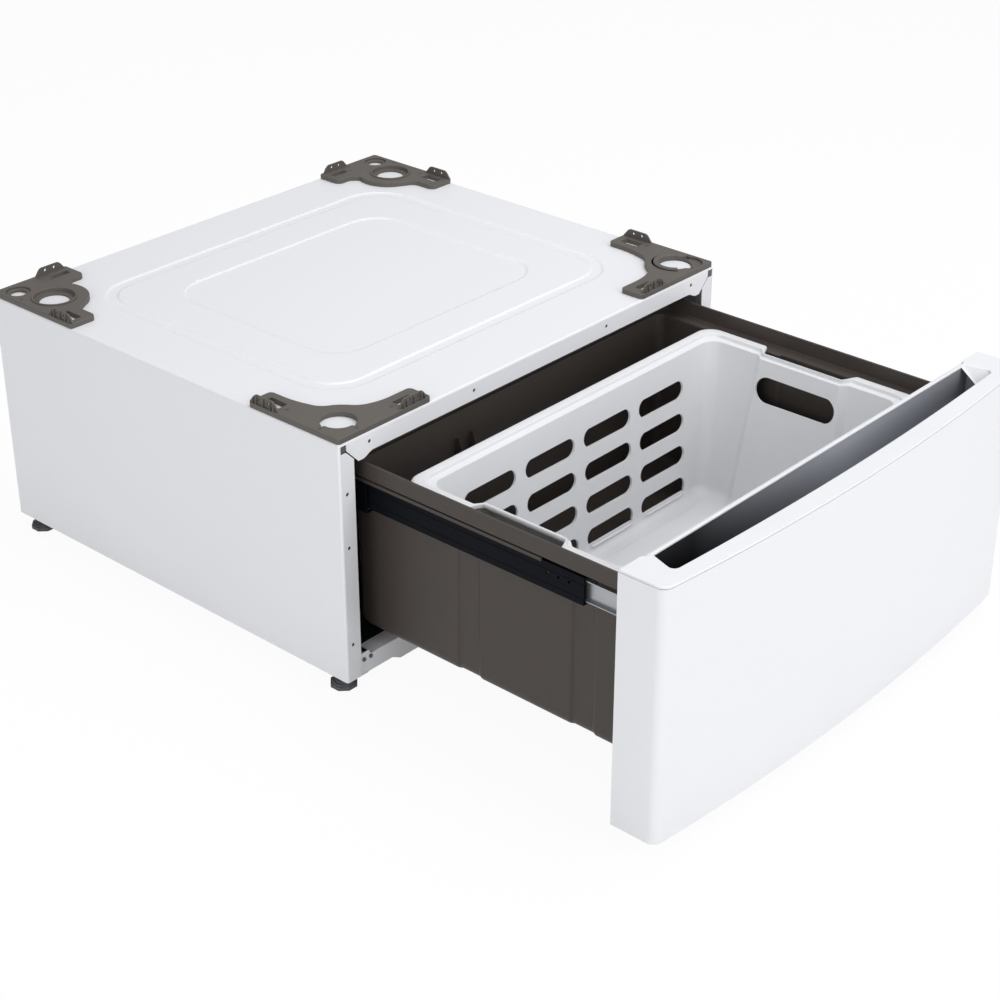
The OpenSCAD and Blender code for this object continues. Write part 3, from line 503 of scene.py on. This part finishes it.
class PEDESTAL_OT_stage(bpy.types.Operator):
    """Floor, even light, three lamps and the camera"""
    bl_idname = "pedestal.stage"
    bl_label = "Stage"

    # Name, place, target and size of each lamp in metres, and the setting of its power
    lamps = (
        ("Top light", (0.6, -0.6, 2.6), (0.1, -0.25, 0.2), 2.4, "top_light"),
        ("Front light", (0.0, -3.2, 1.5), (0.1, -0.5, 0.2), 1.6, "front_light"),
        ("Left light", (-3.0, -1.1, 1.2), (-0.3, -0.2, 0.2), 1.4, "left_light"),
    )
    white = (1.0, 1.0, 1.0, 1.0)
    camera_place = (-1.7637, -1.8136, 1.3984)
    camera_dip = 0.503
    camera_turn = -0.8431
    floor_size = 12.0
    floor_tone = 0.93
    floor_glow = 0.94

    def execute(self, context):
        scene = context.scene
        stage = scene.pedestal_stage
        self.floor()
        self.world(scene, stage.sky)
        for name, place, target, size, setting in self.lamps:
            self.lamp(name, place, target, size, getattr(stage, setting))
        self.camera(scene, stage.lens)
        scene.view_settings.view_transform = "Standard"
        return {"FINISHED"}

    def camera(self, scene, lens):
        camera = bpy.data.objects.new("Camera", bpy.data.cameras.new("Camera"))
        scene.collection.objects.link(camera)
        camera.data.lens = lens
        camera.location = self.camera_place
        camera.rotation_euler = (math.pi / 2 - self.camera_dip, 0.0, self.camera_turn)
        scene.camera = camera

    def floor(self):
        """A floor that reflects light like paint, and that the camera sees nearly white."""
        finish = Finish("Studio floor", Roughness=0.9, Specular_IOR_Level=0.1)
        path = finish.node("ShaderNodeLightPath")
        seen = finish.math("MAXIMUM", path.outputs["Is Camera Ray"], path.outputs["Is Glossy Ray"])
        seen = finish.math("MAXIMUM", seen, path.outputs["Is Transmission Ray"])
        tone = finish.noise(0.6) * 0.01 + self.floor_tone
        base = finish.node("ShaderNodeCombineXYZ", X=tone, Y=tone, Z=tone)
        finish.feed(finish.shader.inputs["Base Color"], base.outputs[0])
        glow = finish.node("ShaderNodeEmission", Strength=1.0)
        mixed = finish.node("ShaderNodeMixShader", Fac=seen * self.floor_glow)
        finish.tree.links.new(finish.shader.outputs[0], mixed.inputs[1])
        finish.tree.links.new(glow.outputs[0], mixed.inputs[2])
        finish.tree.links.new(mixed.outputs[0], finish.output.inputs["Surface"])
        bm = bmesh.new()
        bmesh.ops.create_grid(bm, x_segments=2, y_segments=2, size=self.floor_size)
        floor = add_object(bm, "Floor", finish.material)

    def world(self, scene, sky):
        """Even light from all round, and plain white where the camera looks past the object."""
        world = bpy.data.worlds.new("Studio")
        scene.world = world
        world.use_nodes = True
        tree = world.node_tree
        tree.nodes.clear()
        path = tree.nodes.new("ShaderNodeLightPath")
        seen = tree.nodes.new("ShaderNodeMath")
        seen.operation = "MAXIMUM"
        tree.links.new(path.outputs["Is Camera Ray"], seen.inputs[0])
        tree.links.new(path.outputs["Is Transmission Ray"], seen.inputs[1])
        mixed = tree.nodes.new("ShaderNodeMixShader")
        tree.links.new(seen.outputs[0], mixed.inputs[0])
        for slot, strength in ((1, sky), (2, 1.0)):
            light = tree.nodes.new("ShaderNodeBackground")
            light.inputs["Color"].default_value = self.white
            light.inputs["Strength"].default_value = strength
            tree.links.new(light.outputs[0], mixed.inputs[slot])
        output = tree.nodes.new("ShaderNodeOutputWorld")
        tree.links.new(mixed.outputs[0], output.inputs["Surface"])

    def lamp(self, name, place, target, size, power):
        data = bpy.data.lights.new(name, "AREA")
        data.shape = "SQUARE"
        data.size = size
        data.energy = power
        lamp = bpy.data.objects.new(name, data)
        lamp.location = place
        lamp.rotation_euler = (Vector(target) - Vector(place)).to_track_quat("-Z", "Y").to_euler()
        bpy.context.scene.collection.objects.link(lamp)


class PEDESTAL_OT_finishes(bpy.types.Operator):
    """Paint, plastic, rubber and metal for every piece of the frame"""
    bl_idname = "pedestal.finishes"
    bl_label = "Finishes"

    def execute(self, context):
        make_finishes(context.scene.pedestal_colours)
        for entry in frame["record"]["subparts"]:
            mesh = frame["nodes"][entry["node"]].data
            mesh.materials.clear()
            mesh.materials.append(FINISHES[entry["material_slot"]])
        return {"FINISHED"}


class PEDESTAL_OT_deck(bpy.types.Operator):
    """Pressed deck: folded edges, sunk band and field, flanges with mitres and holes"""
    bl_idname = "pedestal.deck"
    bl_label = "Deck"

    # How far a slope has come down, over its width
    slope_profile = ((0.0, 0.0), (0.2, 0.08), (0.4, 0.32), (0.6, 0.68), (0.8, 0.92), (1.0, 1.0))
    # Half sizes and corner radius of the band and of the field inside it
    band = (265.0, 225.5, 62.0)
    field = (190.0, 154.5, 52.0)
    band_width = 20.0
    pressing_y = 2.0
    fold_steps = 4
    # The flanges' ends, the front one's lower corners, and where its lower edge comes down
    flange_end = 331
    flange_corner = 313.0
    step_x = (290, 306)
    step_down = 6
    hole_x = (-295, -122, 122, 295)
    hole_radius = 2.4

    def execute(self, context):
        size = sizes()
        bm = bmesh.new()
        rings = []
        for k in range(self.fold_steps + 1):
            turn = math.pi / 2 * k / self.fold_steps
            inwards = size.bend * (1 - math.cos(turn))
            rings.append((HALF_W - inwards, HALF_D - inwards, max(size.bend - inwards, 0.5),
                          DECK - size.bend * (1 - math.sin(turn)), 0.0))
        rings += self.slope(self.band, 0.0, size, 1)
        rings += self.slope(self.band, self.band_width - size.slope, size, -1)
        rings += self.slope(self.field, 0.0, size, 1)
        loops = [box_loop(bm, -x, x, y0 - y, y0 + y, radius, z, 12) for x, y, radius, z, y0 in rings]
        stack(bm, loops)
        cap(bm, loops[-1])
        self.flanges(bm, loops[0])
        piece = finish_piece(bm, "Deck", "cabinet", "cabinet_paint", ("top_panel",), shell=True)
        thicken(piece, SHEET)
        return {"FINISHED"}

    def slope(self, start, inwards, size, way):
        """Rings of a pressed slope that goes down, or up again, as it goes in."""
        half_x, half_y, radius = start
        rings = []
        for across, fall in self.slope_profile:
            inset = inwards + size.slope * across
            drop = fall if way > 0 else 1 - fall
            rings.append((half_x - inset, half_y - inset, radius - inset, DECK - size.emboss * drop,
                          self.pressing_y))
        return rings

    def flanges(self, bm, edges):
        """Folds the edges down, mitres the ends, and pierces the front flange."""
        seam = DECK - 3
        mitre = DECK - 11
        low = DECK - 24
        made = bmesh.ops.extrude_edge_only(bm, edges=edges)
        bmesh.ops.translate(bm, vec=(0, 0, low - seam), verts=new_verts(made))
        for side in (-1, 1):
            cut(bm, (side * self.flange_end, 0, 0), (1, 0, 0))
            cut(bm, (side * self.flange_end, 0, mitre), (side, 0, -1))
            for x in range(self.step_x[0], self.step_x[1] + 1, 4):
                cut(bm, (side * x, 0, 0), (1, 0, 0))
        for face in bm.faces[:]:
            middle = face.calc_center_median()
            beyond = abs(middle.x) - self.flange_end
            if middle.z < seam - 0.01 and (beyond > 0 or beyond > middle.z - mitre):
                bm.faces.remove(face)
        bmesh.ops.delete(bm, geom=[v for v in bm.verts if not v.link_faces], context="VERTS")
        for vert in bm.verts:
            if vert.co.z < low + 0.01 and vert.co.y < 0:
                x = min(abs(vert.co.x), self.flange_corner)
                down = self.step_down * smooth_step(x, *self.step_x)
                vert.co = (math.copysign(x, vert.co.x), vert.co.y, low - down)
        front = set()
        for face in bm.faces:
            middle = face.calc_center_median()
            if middle.z < seam - 0.01 and middle.y < 0:
                front.add(face)
        lines = {edge for face in front for edge in face.edges}
        border = [edge for edge in lines if sum(face in front for face in edge.link_faces) == 1]
        bmesh.ops.delete(bm, geom=list(front), context="FACES_ONLY")
        stood = Matrix.Translation((0, -HALF_D, DECK - 12)) @ Matrix.Rotation(math.pi / 2, 4, "X")
        holes = []
        for x in self.hole_x:
            ring = circle_loop(bm, x, 0, self.hole_radius, 0, 20)
            bmesh.ops.transform(bm, matrix=stood, verts=verts_of(ring))
            holes += ring
        fill(bm, border + holes, (0, -1, 0))


class PEDESTAL_OT_brackets(bpy.types.Operator):
    """The four corner brackets that take the washer's feet, with their ribbed tabs"""
    bl_idname = "pedestal.brackets"
    bl_label = "Corner brackets"

    # Outlines measured inwards from the cabinet's corner, with the rounding of each point
    front_points = ((1, 1), (150, 1), (150, 36), (104, 36), (79, 45), (65, 65), (46, 77), (37, 112),
                    (37, 147), (1, 147))
    front_radii = (4, 5, 6, 12, 9, 9, 9, 14, 6, 5)
    rear_start = ((1, 1), (114, 1), (114, 36), (109, 41), (92, 41))
    rear_start_radii = (4, 5, 3, 3, 5)
    rear_end = ((41, 122), (41, 151), (36, 156), (1, 156))
    rear_end_radii = (6, 5, 3, 4)

    # Centres of the cups and recesses, places of the tabs and screws
    front_cup = (36, 36.5)
    front_recess = (25, 25)
    rear_cup = (41, 72)
    rear_spare = (22, 23)
    front_tabs = (123, 123)
    rear_tabs = (86, 133)
    front_screws = ((7.5, 36.5), (36.5, 7.5), (100, 16), (16, 98))
    rear_screws = ((8, 48), (64, 10), (74, 24), (16, 108))

    # Turned profiles: radius and height above the deck
    front_collar = ((30.8, 0), (30.8, 6.4), (28.6, 6.4), (28.2, 7.8), (27.6, 8.2), (22.6, 8.2), (22, 7.8),
                    (21.2, 6.8), (21, 0))
    rear_collar = ((28.8, 0), (28.8, 7.4), (28.3, 7.9), (26.8, 7.9), (26.2, 7.4), (25.8, 3), (25.3, 2.6),
                   (19.6, 2.6), (19, 2.2), (19, 0))
    rear_seat_radius = 25.9
    spare_ring = ((15.8, 0), (15.8, 3.6), (14.9, 4.2), (11.3, 4.2), (10.5, 3.6), (10.5, 0))
    # Where a collar is cut down, in degrees from +X, seen from above
    open_turns = {"front_right": (-130, 30), "rear_left": (130, 250)}
    # The head of a screw: radius and height above the plate
    screw_head = ((0.01, -0.3), (1.1, -0.3), (1.3, 0.3), (2.1, 0.2), (2.5, -0.2), (2.5, -1), (1.7, -1))

    def execute(self, context):
        for name, sx, sy in CORNERS:
            self.bracket(name, sx, sy)
        self.screws()
        return {"FINISHED"}

    def bracket(self, name, sx, sy):
        size = sizes()
        front = sy < 0
        cup = self.front_cup if front else self.rear_cup
        tabs = self.front_tabs if front else self.rear_tabs
        bm = bmesh.new()
        edges = self.front_outline(bm, sx) if front else self.rear_outline(bm)
        slab(bm, edges, size.bracket_plate, size.bracket_round, DECK)
        if name != "front_left":
            self.collar(bm, name, cup, sx, sy)
        if not front:
            turned(bm, self.spare_ring, *self.rear_spare, 32, DECK)
        elif sx > 0:
            ring = outline(bm, self.two_circles(cup, 22.7, self.front_recess, 20.3))
            slab(bm, ring + circle_loop(bm, *cup, 22), 3.0, 0.3, DECK)
        foot = DECK + size.bracket_plate - 0.4
        self.tab(bm, upright(tabs[0], 0, foot), 1)
        self.tab(bm, upright(0, tabs[1], foot, (0, 1, 0)), -1)
        if front:
            self.lug(bm)
        corner = Matrix.Translation((sx * HALF_W, sy * HALF_D, 0)) @ Matrix.Diagonal((-sx, -sy, 1, 1))
        flat_faces(finish_piece(bm, "Bracket_" + name, "cabinet", "bracket_plastic", ("bracket_" + name,),
                                corner))

    def front_outline(self, bm, sx):
        """A front plate with its two windows. The right one's cup has a recess, the left one's is notched."""
        edges = outline(bm, self.front_points, self.front_radii)
        edges += box_loop(bm, 109, 135, 13, 24, 1.5) + box_loop(bm, 12, 26, 108, 136, 1.5)
        if sx > 0:
            return edges + outline(bm, self.two_circles(self.front_cup, 22.4, self.front_recess, 20))
        return edges + outline(bm, self.notched_cup(self.front_cup))

    def rear_outline(self, bm):
        """A rear plate with its two windows, its cup and a spare hole."""
        hub = tuple(arc((41, 70), 45, -24, 66, 14))
        radii = self.rear_start_radii + (0,) * len(hub) + self.rear_end_radii
        edges = outline(bm, self.rear_start + hub + self.rear_end, radii)
        edges += box_loop(bm, 79, 105, 12.5, 23.5, 1.5) + box_loop(bm, 11, 25, 118, 146, 1.5)
        return edges + circle_loop(bm, *self.rear_cup, 28.5) + circle_loop(bm, *self.rear_spare, 15.5)

    def notched_cup(self, cup):
        """A cup that steps in on the corner's side, with a small notch at each step."""
        back = arc(cup, 21.5, -72, 162, 36)
        near = arc(cup, 19.6, 176, 274, 16)
        return back + arc(cup, 23.4, 166, 172, 2) + near + arc(cup, 23.4, 278, 284, 2)

    def two_circles(self, first, r1, second, r2):
        """The outline round two circles that overlap."""
        apart = Vector(second) - Vector(first)
        reach = apart.length
        aim = math.degrees(math.atan2(apart.y, apart.x))
        a1 = math.degrees(math.acos((reach ** 2 + r1 ** 2 - r2 ** 2) / (2 * reach * r1)))
        a2 = math.degrees(math.acos((reach ** 2 + r2 ** 2 - r1 ** 2) / (2 * reach * r2)))
        around_first = arc(first, r1, aim + a1, aim + 360 - a1, 32)
        around_second = arc(second, r2, aim + a2 - 180, aim + 180 - a2, 18)
        return around_first[:-1] + around_second[:-1]

    def collar(self, bm, name, cup, sx, sy):
        """The stepped ring in the cup, cut down over part of the turn."""
        front = sy < 0
        start, end = self.open_turns.get(name, (0, 0))
        for vert in turned(bm, self.front_collar if front else self.rear_collar, *cup, base=DECK):
            across = (vert.co.x - cup[0]) * -sx
            along = (vert.co.y - cup[1]) * -sy
            turn = math.degrees(math.atan2(along, across))
            opened = start < turn < end or start < turn + 360 < end
            inner = front or math.hypot(across, along) < self.rear_seat_radius
            if inner and opened and vert.co.z > DECK + 0.1:
                vert.co.z = DECK + 0.25

    def tab(self, bm, place, side):
        """A tab that stands on the plate near its outer edge, with five ribs behind it."""
        thick, far, near, rib_thick = 2.2, 3.6, 1.2, 1.2
        plate = outline(bm, [(-24, 0), (24, 0), (15, 11), (-15, 11)], [0, 0, 3, 3])
        plate += circle_loop(bm, -7, 6.2, 1.9, 0, 16) + circle_loop(bm, 7, 6.2, 1.9, 0, 16)
        behind = -far - thick if side > 0 else far
        slab(bm, plate, thick, 0.5 if side > 0 else 0.0, 0, place @ Matrix.Translation((0, 0, behind)))
        turn = Matrix.Rotation(side * math.pi / 2, 4, "Y")
        if side > 0:
            turn = turn @ Matrix.Translation((0, 0, -rib_thick))
        for x in (-17, -11.5, 0, 11.5, 17):
            tall = 10.2 if abs(x) < 15 else 6.6
            deep = far - near
            rib = outline(bm, [(0, 0), (deep, 0), (deep, tall), (1.2, tall), (0, tall - 3)])
            stand = place @ (Matrix.Translation((x + 0.6, 0, -side * near)) @ turn)
            slab(bm, rib, rib_thick, place=stand)

    def screws(self):
        """Small dark screws, sunk a little into the brackets."""
        bm = bmesh.new()
        seat = DECK + sizes().bracket_plate
        tip = DECK - 4
        profile = [(radius, seat + up) for radius, up in self.screw_head] + [(1.7, tip), (0.01, tip)]
        for _, sx, sy in CORNERS:
            for u, v in self.front_screws if sy < 0 else self.rear_screws:
                turned(bm, profile, sx * (HALF_W - u), sy * (HALF_D - v), 16)
        finish_piece(bm, "Bracket_screws", "cabinet", "screw_zinc", ("bracket_screws",), smooth=0.5,
                     merge=0.03)

    def lug(self, bm):
        """The hook that shows in the notch of the cabinet's corner."""
        hook = box_loop(bm, 3.2, 11.2, 0.6, 7.2, 1.2)
        slab(bm, hook, 8.2, 0.8, DECK - 11.5)
        stem = box_loop(bm, 3.2, 11.2, 3.6, 7.2, 0.5)
        slab(bm, stem, 7, z=DECK - 5)


class PEDESTAL_OT_rail_ends(bpy.types.Operator):
    """The front base rail's ends reach down to the lower edge of the side panels"""
    bl_idname = "pedestal.rail_ends"
    bl_label = "Base rail ends"

    # The right end from the front, X and height above the floor, and the back of its sheet
    corners = ((267.5, 20.0), (339.6, 20.0), (339.6, 27.0), (281.0, 27.0))
    setback = 2.45

    def execute(self, context):
        bm = bmesh.new()
        for side in (-1, 1):
            edges = outline(bm, [(side * x, z) for x, z in self.corners])
            slab(bm, edges, SHEET, place=upright(0, self.setback - HALF_D, 0))
        flat_faces(finish_piece(bm, "Base_rail_ends", "cabinet", "cabinet_paint"))
        return {"FINISHED"}


class PEDESTAL_OT_basket(bpy.types.Operator):
    """Lift-out basket: stepped rim, grips, vent slots and a stepped floor"""
    bl_idname = "pedestal.basket"
    bl_label = "Basket"

    middle_y = -511.0
    floor_z = 71.0
    mouth_z = 272.0
    # Half sizes at the mouth and at the floor
    top = (262.0, 140.0)
    low = (232.0, 126.0)
    foot_radius = 12.0
    corner_radius = 16
    # The rim's profile, outwards and upwards from the mouth
    rim = ((0, 0), (0.4, 1.3), (1.4, 2.0), (6, 2.2), (7.2, 2.6), (7.8, 3.6), (8.4, 6.2), (9.4, 7), (17, 7),
           (19, 6.6), (20.4, 5.4), (21, 3.8), (21, 2.2))
    # Half sizes, height and corner radius of the steps in the floor
    floor_steps = ((211, 105, 0, 10), (209.5, 103.5, 0.7, 9), (207.5, 101.5, 2, 8))

    # The step at the grips: its distance from the middle, its lean, its depth, and the rim's further depth
    grip_y = (57, 69)
    grip_lean = 12.0 / 200.0
    grip_depth = 8
    rim_depth = 12
    grip_hole = (236, 118, 34)
    end_x = 216
    # Slots in each row and column, the middle of the top row, their pitch and their size
    slots = 4
    slot_x, slot_z = -4, 227
    slot_pitch = (107, 45)
    slot_size = (90, 25)

    def wall_at(self, z):
        """Half sizes inside the wall at some height."""
        t = (z - self.floor_z) / (self.mouth_z - self.floor_z)
        return [low + (top - low) * t for low, top in zip(self.low, self.top)]

    def execute(self, context):
        size = sizes()
        bm = bmesh.new()
        rings = []
        for k in range(5):
            turn = math.pi / 8 * k
            z = self.floor_z + self.foot_radius * (1 - math.cos(turn))
            inwards = self.foot_radius * (1 - math.sin(turn))
            half = self.wall_at(z)
            rings.append((half[0] - inwards, half[1] - inwards, z, self.corner_radius))
        for outwards, upwards in self.rim:
            rings.append((self.top[0] + outwards, self.top[1] + outwards * 22 / 21, self.mouth_z + upwards,
                          self.corner_radius + 2 + outwards * 0.2))
        y = self.middle_y
        loops = [box_loop(bm, -hx, hx, y - hy, y + hy, radius, z, 8) for hx, hy, z, radius in rings]
        stack(bm, loops)
        self.floor(bm, loops[0])
        self.grips(bm)
        self.vents(bm)
        piece = finish_piece(bm, "Basket", "basket_body", "basket_plastic", ("basket",), shell=True)
        thicken(piece, size.basket_wall, size.slot_round)
        return {"FINISHED"}

    def floor(self, bm, edges):
        """Floor with a raised middle."""
        y = self.middle_y
        loops = [edges] + [box_loop(bm, -hx, hx, y - hy, y + hy, radius, self.floor_z + up, 8)
                           for hx, hy, up, radius in self.floor_steps]
        stack(bm, loops)
        cap(bm, loops[-1])

    def grips(self, bm):
        """Both ends step in at the grips, from the rim down to the floor."""
        crest = self.mouth_z + 7
        for side in (-1, 1):
            for t in range(self.grip_y[0], self.grip_y[1] + 1, 2):
                cut(bm, (0, self.middle_y + side * t, crest), (0, side, self.grip_lean))
        for vert in bm.verts:
            x = abs(vert.co.x)
            if x < self.end_x:
                continue
            t = abs(vert.co.y - self.middle_y) - (crest - vert.co.z) * self.grip_lean
            inwards = self.grip_depth + self.rim_depth * smooth_step(x, self.top[0] + 2, self.top[0] + 21)
            vert.co.x -= math.copysign(inwards * (1 - smooth_step(t, *self.grip_y)), vert.co.x)

    def vents(self, bm):
        """Slots in the long walls and a hole in each grip, set into the leaning walls."""
        for side in (-1, 1):
            wall = self.panel(bm, 1, side, 100)
            holes = []
            for column in range(self.slots):
                for row in range(self.slots):
                    x = self.slot_x + (column - (self.slots - 1) / 2) * self.slot_pitch[0]
                    ring = stadium_loop(bm, x, self.slot_z - row * self.slot_pitch[1], *self.slot_size)
                    for vert in verts_of(ring):
                        x, z = vert.co.x, vert.co.y
                        vert.co = (x, self.middle_y + side * self.wall_at(z)[1], z)
                    holes += ring
            fill(bm, wall + holes, (0, side, 0))
        for side in (-1, 1):
            wall = self.panel(bm, 0, side, 200)
            ring = stadium_loop(bm, self.middle_y, *self.grip_hole)
            for vert in verts_of(ring):
                y, z = vert.co.x, vert.co.y
                vert.co = (side * (self.wall_at(z)[0] - self.grip_depth), y, z)
            fill(bm, wall + ring, (side, 0, 0))

    def panel(self, bm, axis, side, reach):
        """Takes out the one large face of a wall and returns its border."""
        bm.normal_update()
        faces = []
        for face in bm.faces:
            middle = face.calc_center_median() - Vector((0, self.middle_y, 0))
            if (abs(face.normal[axis]) > 0.9 and middle[axis] * side > reach and abs(middle[1 - axis]) < 20
                    and middle.z < self.mouth_z - 5 and face.calc_area() > 9000):
                faces.append(face)
        if len(faces) != 1:
            raise RuntimeError("the basket has %d faces where a wall should be" % len(faces))
        border = list(faces[0].edges)
        bmesh.ops.delete(bm, geom=faces, context="FACES_ONLY")
        return border


class PEDESTAL_OT_tub(bpy.types.Operator):
    """Drawer tub: moulded shell with a ledge, a rim band, shallow grooves and fins"""
    bl_idname = "pedestal.tub"
    bl_label = "Drawer tub"

    side_radius = 7.0
    heel_radius = 14.0
    ledge = 274.0
    rim_top = 294.0
    # The grooves in the sides: their middles, half widths of their bottom and mouth, and their depth
    groove_y = (-448, -614)
    groove_half = (14, 19)
    groove_depth = 2.5
    fin = ((0, 0), (10, 0), (10, 30), (4, 30), (0, 14))
    fin_x = (-113, -88)

    def execute(self, context):
        wall = sizes().tub_wall
        bm = bmesh.new()
        bottom = 62.0 + wall
        front, rear, half = PANEL + wall + 1, -269.0 - wall, 284.0 - wall
        rings = []
        for up in (0.0, 0.6, 2.0, 4.2, 7.0, 10.0, 14.0):
            rings.append((half - self.drawn_in(self.side_radius, up), front,
                          rear - self.drawn_in(self.heel_radius, up), 11, bottom + up))
        ledge, rim, rim_rear = self.ledge, 301 - wall, -263 - wall
        rings += [
            (half, front, rear, 11, ledge - 2),
            (half + 0.8, front - 0.1, rear + 0.3, 11.3, ledge - 0.4),
            (half + 2, front - 0.2, rear + 0.8, 11.6, ledge),
            (rim - 2, front - 0.8, rim_rear - 0.8, 11, ledge),
            (rim, front - 1, rim_rear, 11, ledge + 1.4),
            (rim, front - 1, rim_rear, 11, self.rim_top),
        ]
        loops = [box_loop(bm, -hx, hx, y0, y1, radius, z, 6) for hx, y0, y1, radius, z in rings]
        cap(bm, loops[0])
        stack(bm, loops)
        self.grooves(bm)
        piece = finish_piece(bm, "Drawer_tub", "drawer", "tub_plastic", ("drawer_tub",), smooth=0.8,
                             shell=True)
        thicken(piece, wall, 0.5)
        self.lip()
        return {"FINISHED"}

    def drawn_in(self, radius, up):
        """How far a rounded lower edge stands back at some height above the bottom."""
        return radius - math.sqrt(radius ** 2 - max(0.0, radius - up) ** 2)

    def grooves(self, bm):
        for middle in self.groove_y:
            for t in (-19, -17.5, -16, -14, 14, 16, 17.5, 19):
                cut(bm, (0, middle + t, 0), (0, 1, 0))
        for vert in bm.verts:
            if abs(vert.co.x) > 265 and vert.co.z < self.ledge - 1:
                t = min(abs(vert.co.y - middle) for middle in self.groove_y)
                inwards = self.groove_depth * (1 - smooth_step(t, *self.groove_half))
                vert.co.x -= math.copysign(inwards, vert.co.x)

    def lip(self):
        """The band reaches lower behind the slides' stop. Two fins stand at the rear wall."""
        bm = bmesh.new()
        for side in (-1, 1):
            x = sorted((side * 298, side * 301))
            slab(bm, box_loop(bm, *x, -568, -277, 0.6), 4, z=268)
        for x in self.fin_x:
            slab(bm, outline(bm, self.fin), 3, place=upright(x, -282, 210, (0, 1, 0)))
        flat_faces(finish_piece(bm, "Drawer_tub_lip", "drawer", "tub_plastic"))


class PEDESTAL_OT_caps(bpy.types.Operator):
    """Top cap of the drawer front, with the mouth of the handle pocket and its sloping ends"""
    bl_idname = "pedestal.caps"
    bl_label = "Drawer front caps"

    underside = 328.2
    thick = 2.3
    # A facet's corners at the right end, and those of the lip along it
    facet_corners = ((296.5, -711.8, 329.6), (308.4, -746.5, 329.6), (291.0, -748.0, 308.0))
    lip_corners = ((287.5, -748.0, 306.5), (292.0, -711.8, 329.6))

    def bowed(self, half, side_y, bow, count=18):
        """Points of an arc across the front, from left to right."""
        radius = (half ** 2 + bow ** 2) / (2 * bow)
        places = [half * (2 * k / count - 1) for k in range(count + 1)]
        return [(x, side_y - bow + radius - math.sqrt(radius ** 2 - x ** 2)) for x in places]

    def facet(self, bm, side):
        """The facet that closes an end of the pocket's mouth. The right one has a lip."""
        points = self.facet_corners + (self.lip_corners if side > 0 else ())
        corners = [bm.verts.new((side * x, y, z)) for x, y, z in points]
        faces = [bm.faces.new(corners[:3])]
        if side > 0:
            faces.append(bm.faces.new([corners[k] for k in (0, 2, 3, 4)]))
        made = bmesh.ops.extrude_face_region(bm, geom=faces, use_keep_orig=True)
        bmesh.ops.translate(bm, vec=(side * 3.0, 0, -2.5), verts=new_verts(made))

    def execute(self, context):
        bm = bmesh.new()
        face = self.bowed(HALF_W, -762.8, 18.2)
        rear = [(HALF_W, PANEL), (305, PANEL), (305, PANEL - 4), (-305, PANEL - 4), (-305, PANEL),
                (-HALF_W, PANEL)]
        radii = [12] + [0] * (len(face) - 2) + [12, 2, 1, 1.5, 1.5, 1, 2]
        top = outline(bm, face + rear, radii, 0, 8)
        mouth = self.bowed(308, -746, 10)
        radii = [9] + [0] * (len(mouth) - 2) + [9, 1, 1]
        hole = outline(bm, mouth + [(297, -712), (-297, -712)], radii)
        slab(bm, top + hole, self.thick, sizes().cap_round, self.underside)
        for side in (-1, 1):
            self.facet(bm, side)
        flat_faces(finish_piece(bm, "Top_cap", "drawer", "cap_plastic", ("top_cap",)))
        return {"FINISHED"}


class PEDESTAL_PT_sidebar(bpy.types.Panel):
    """Sizes, colours and the pieces"""
    bl_label = "Washer Pedestal"
    bl_space_type = "VIEW_3D"
    bl_region_type = "UI"
    bl_category = "Pedestal"

    def draw(self, context):
        column = self.layout.column()
        scene = context.scene
        for settings in (scene.pedestal_sizes, scene.pedestal_colours, scene.pedestal_stage):
            for key in settings.__annotations__:
                column.prop(settings, key)
        for operator in OPERATORS:
            column.operator(operator.bl_idname)


OPERATORS = (
    PEDESTAL_OT_stage,
    PEDESTAL_OT_finishes,
    PEDESTAL_OT_deck,
    PEDESTAL_OT_brackets,
    PEDESTAL_OT_rail_ends,
    PEDESTAL_OT_basket,
    PEDESTAL_OT_tub,
    PEDESTAL_OT_caps,
)
CLASSES = (PedestalSizes, PedestalColours, PedestalStage, *OPERATORS, PEDESTAL_PT_sidebar)


def register():
    for item in CLASSES:
        bpy.utils.register_class(item)
    bpy.types.Scene.pedestal_sizes = bpy.props.PointerProperty(type=PedestalSizes)
    bpy.types.Scene.pedestal_colours = bpy.props.PointerProperty(type=PedestalColours)
    bpy.types.Scene.pedestal_stage = bpy.props.PointerProperty(type=PedestalStage)


def unregister():
    del bpy.types.Scene.pedestal_stage
    del bpy.types.Scene.pedestal_colours
    del bpy.types.Scene.pedestal_sizes
    for item in reversed(CLASSES):
        bpy.utils.unregister_class(item)


def main():
    register()
    bpy.ops.pedestal.stage()
    bpy.ops.pedestal.finishes()
    bpy.ops.pedestal.deck()
    bpy.ops.pedestal.brackets()
    bpy.ops.pedestal.rail_ends()
    bpy.ops.pedestal.basket()
    bpy.ops.pedestal.tub()
    bpy.ops.pedestal.caps()


if __name__ == "__main__":
    main()
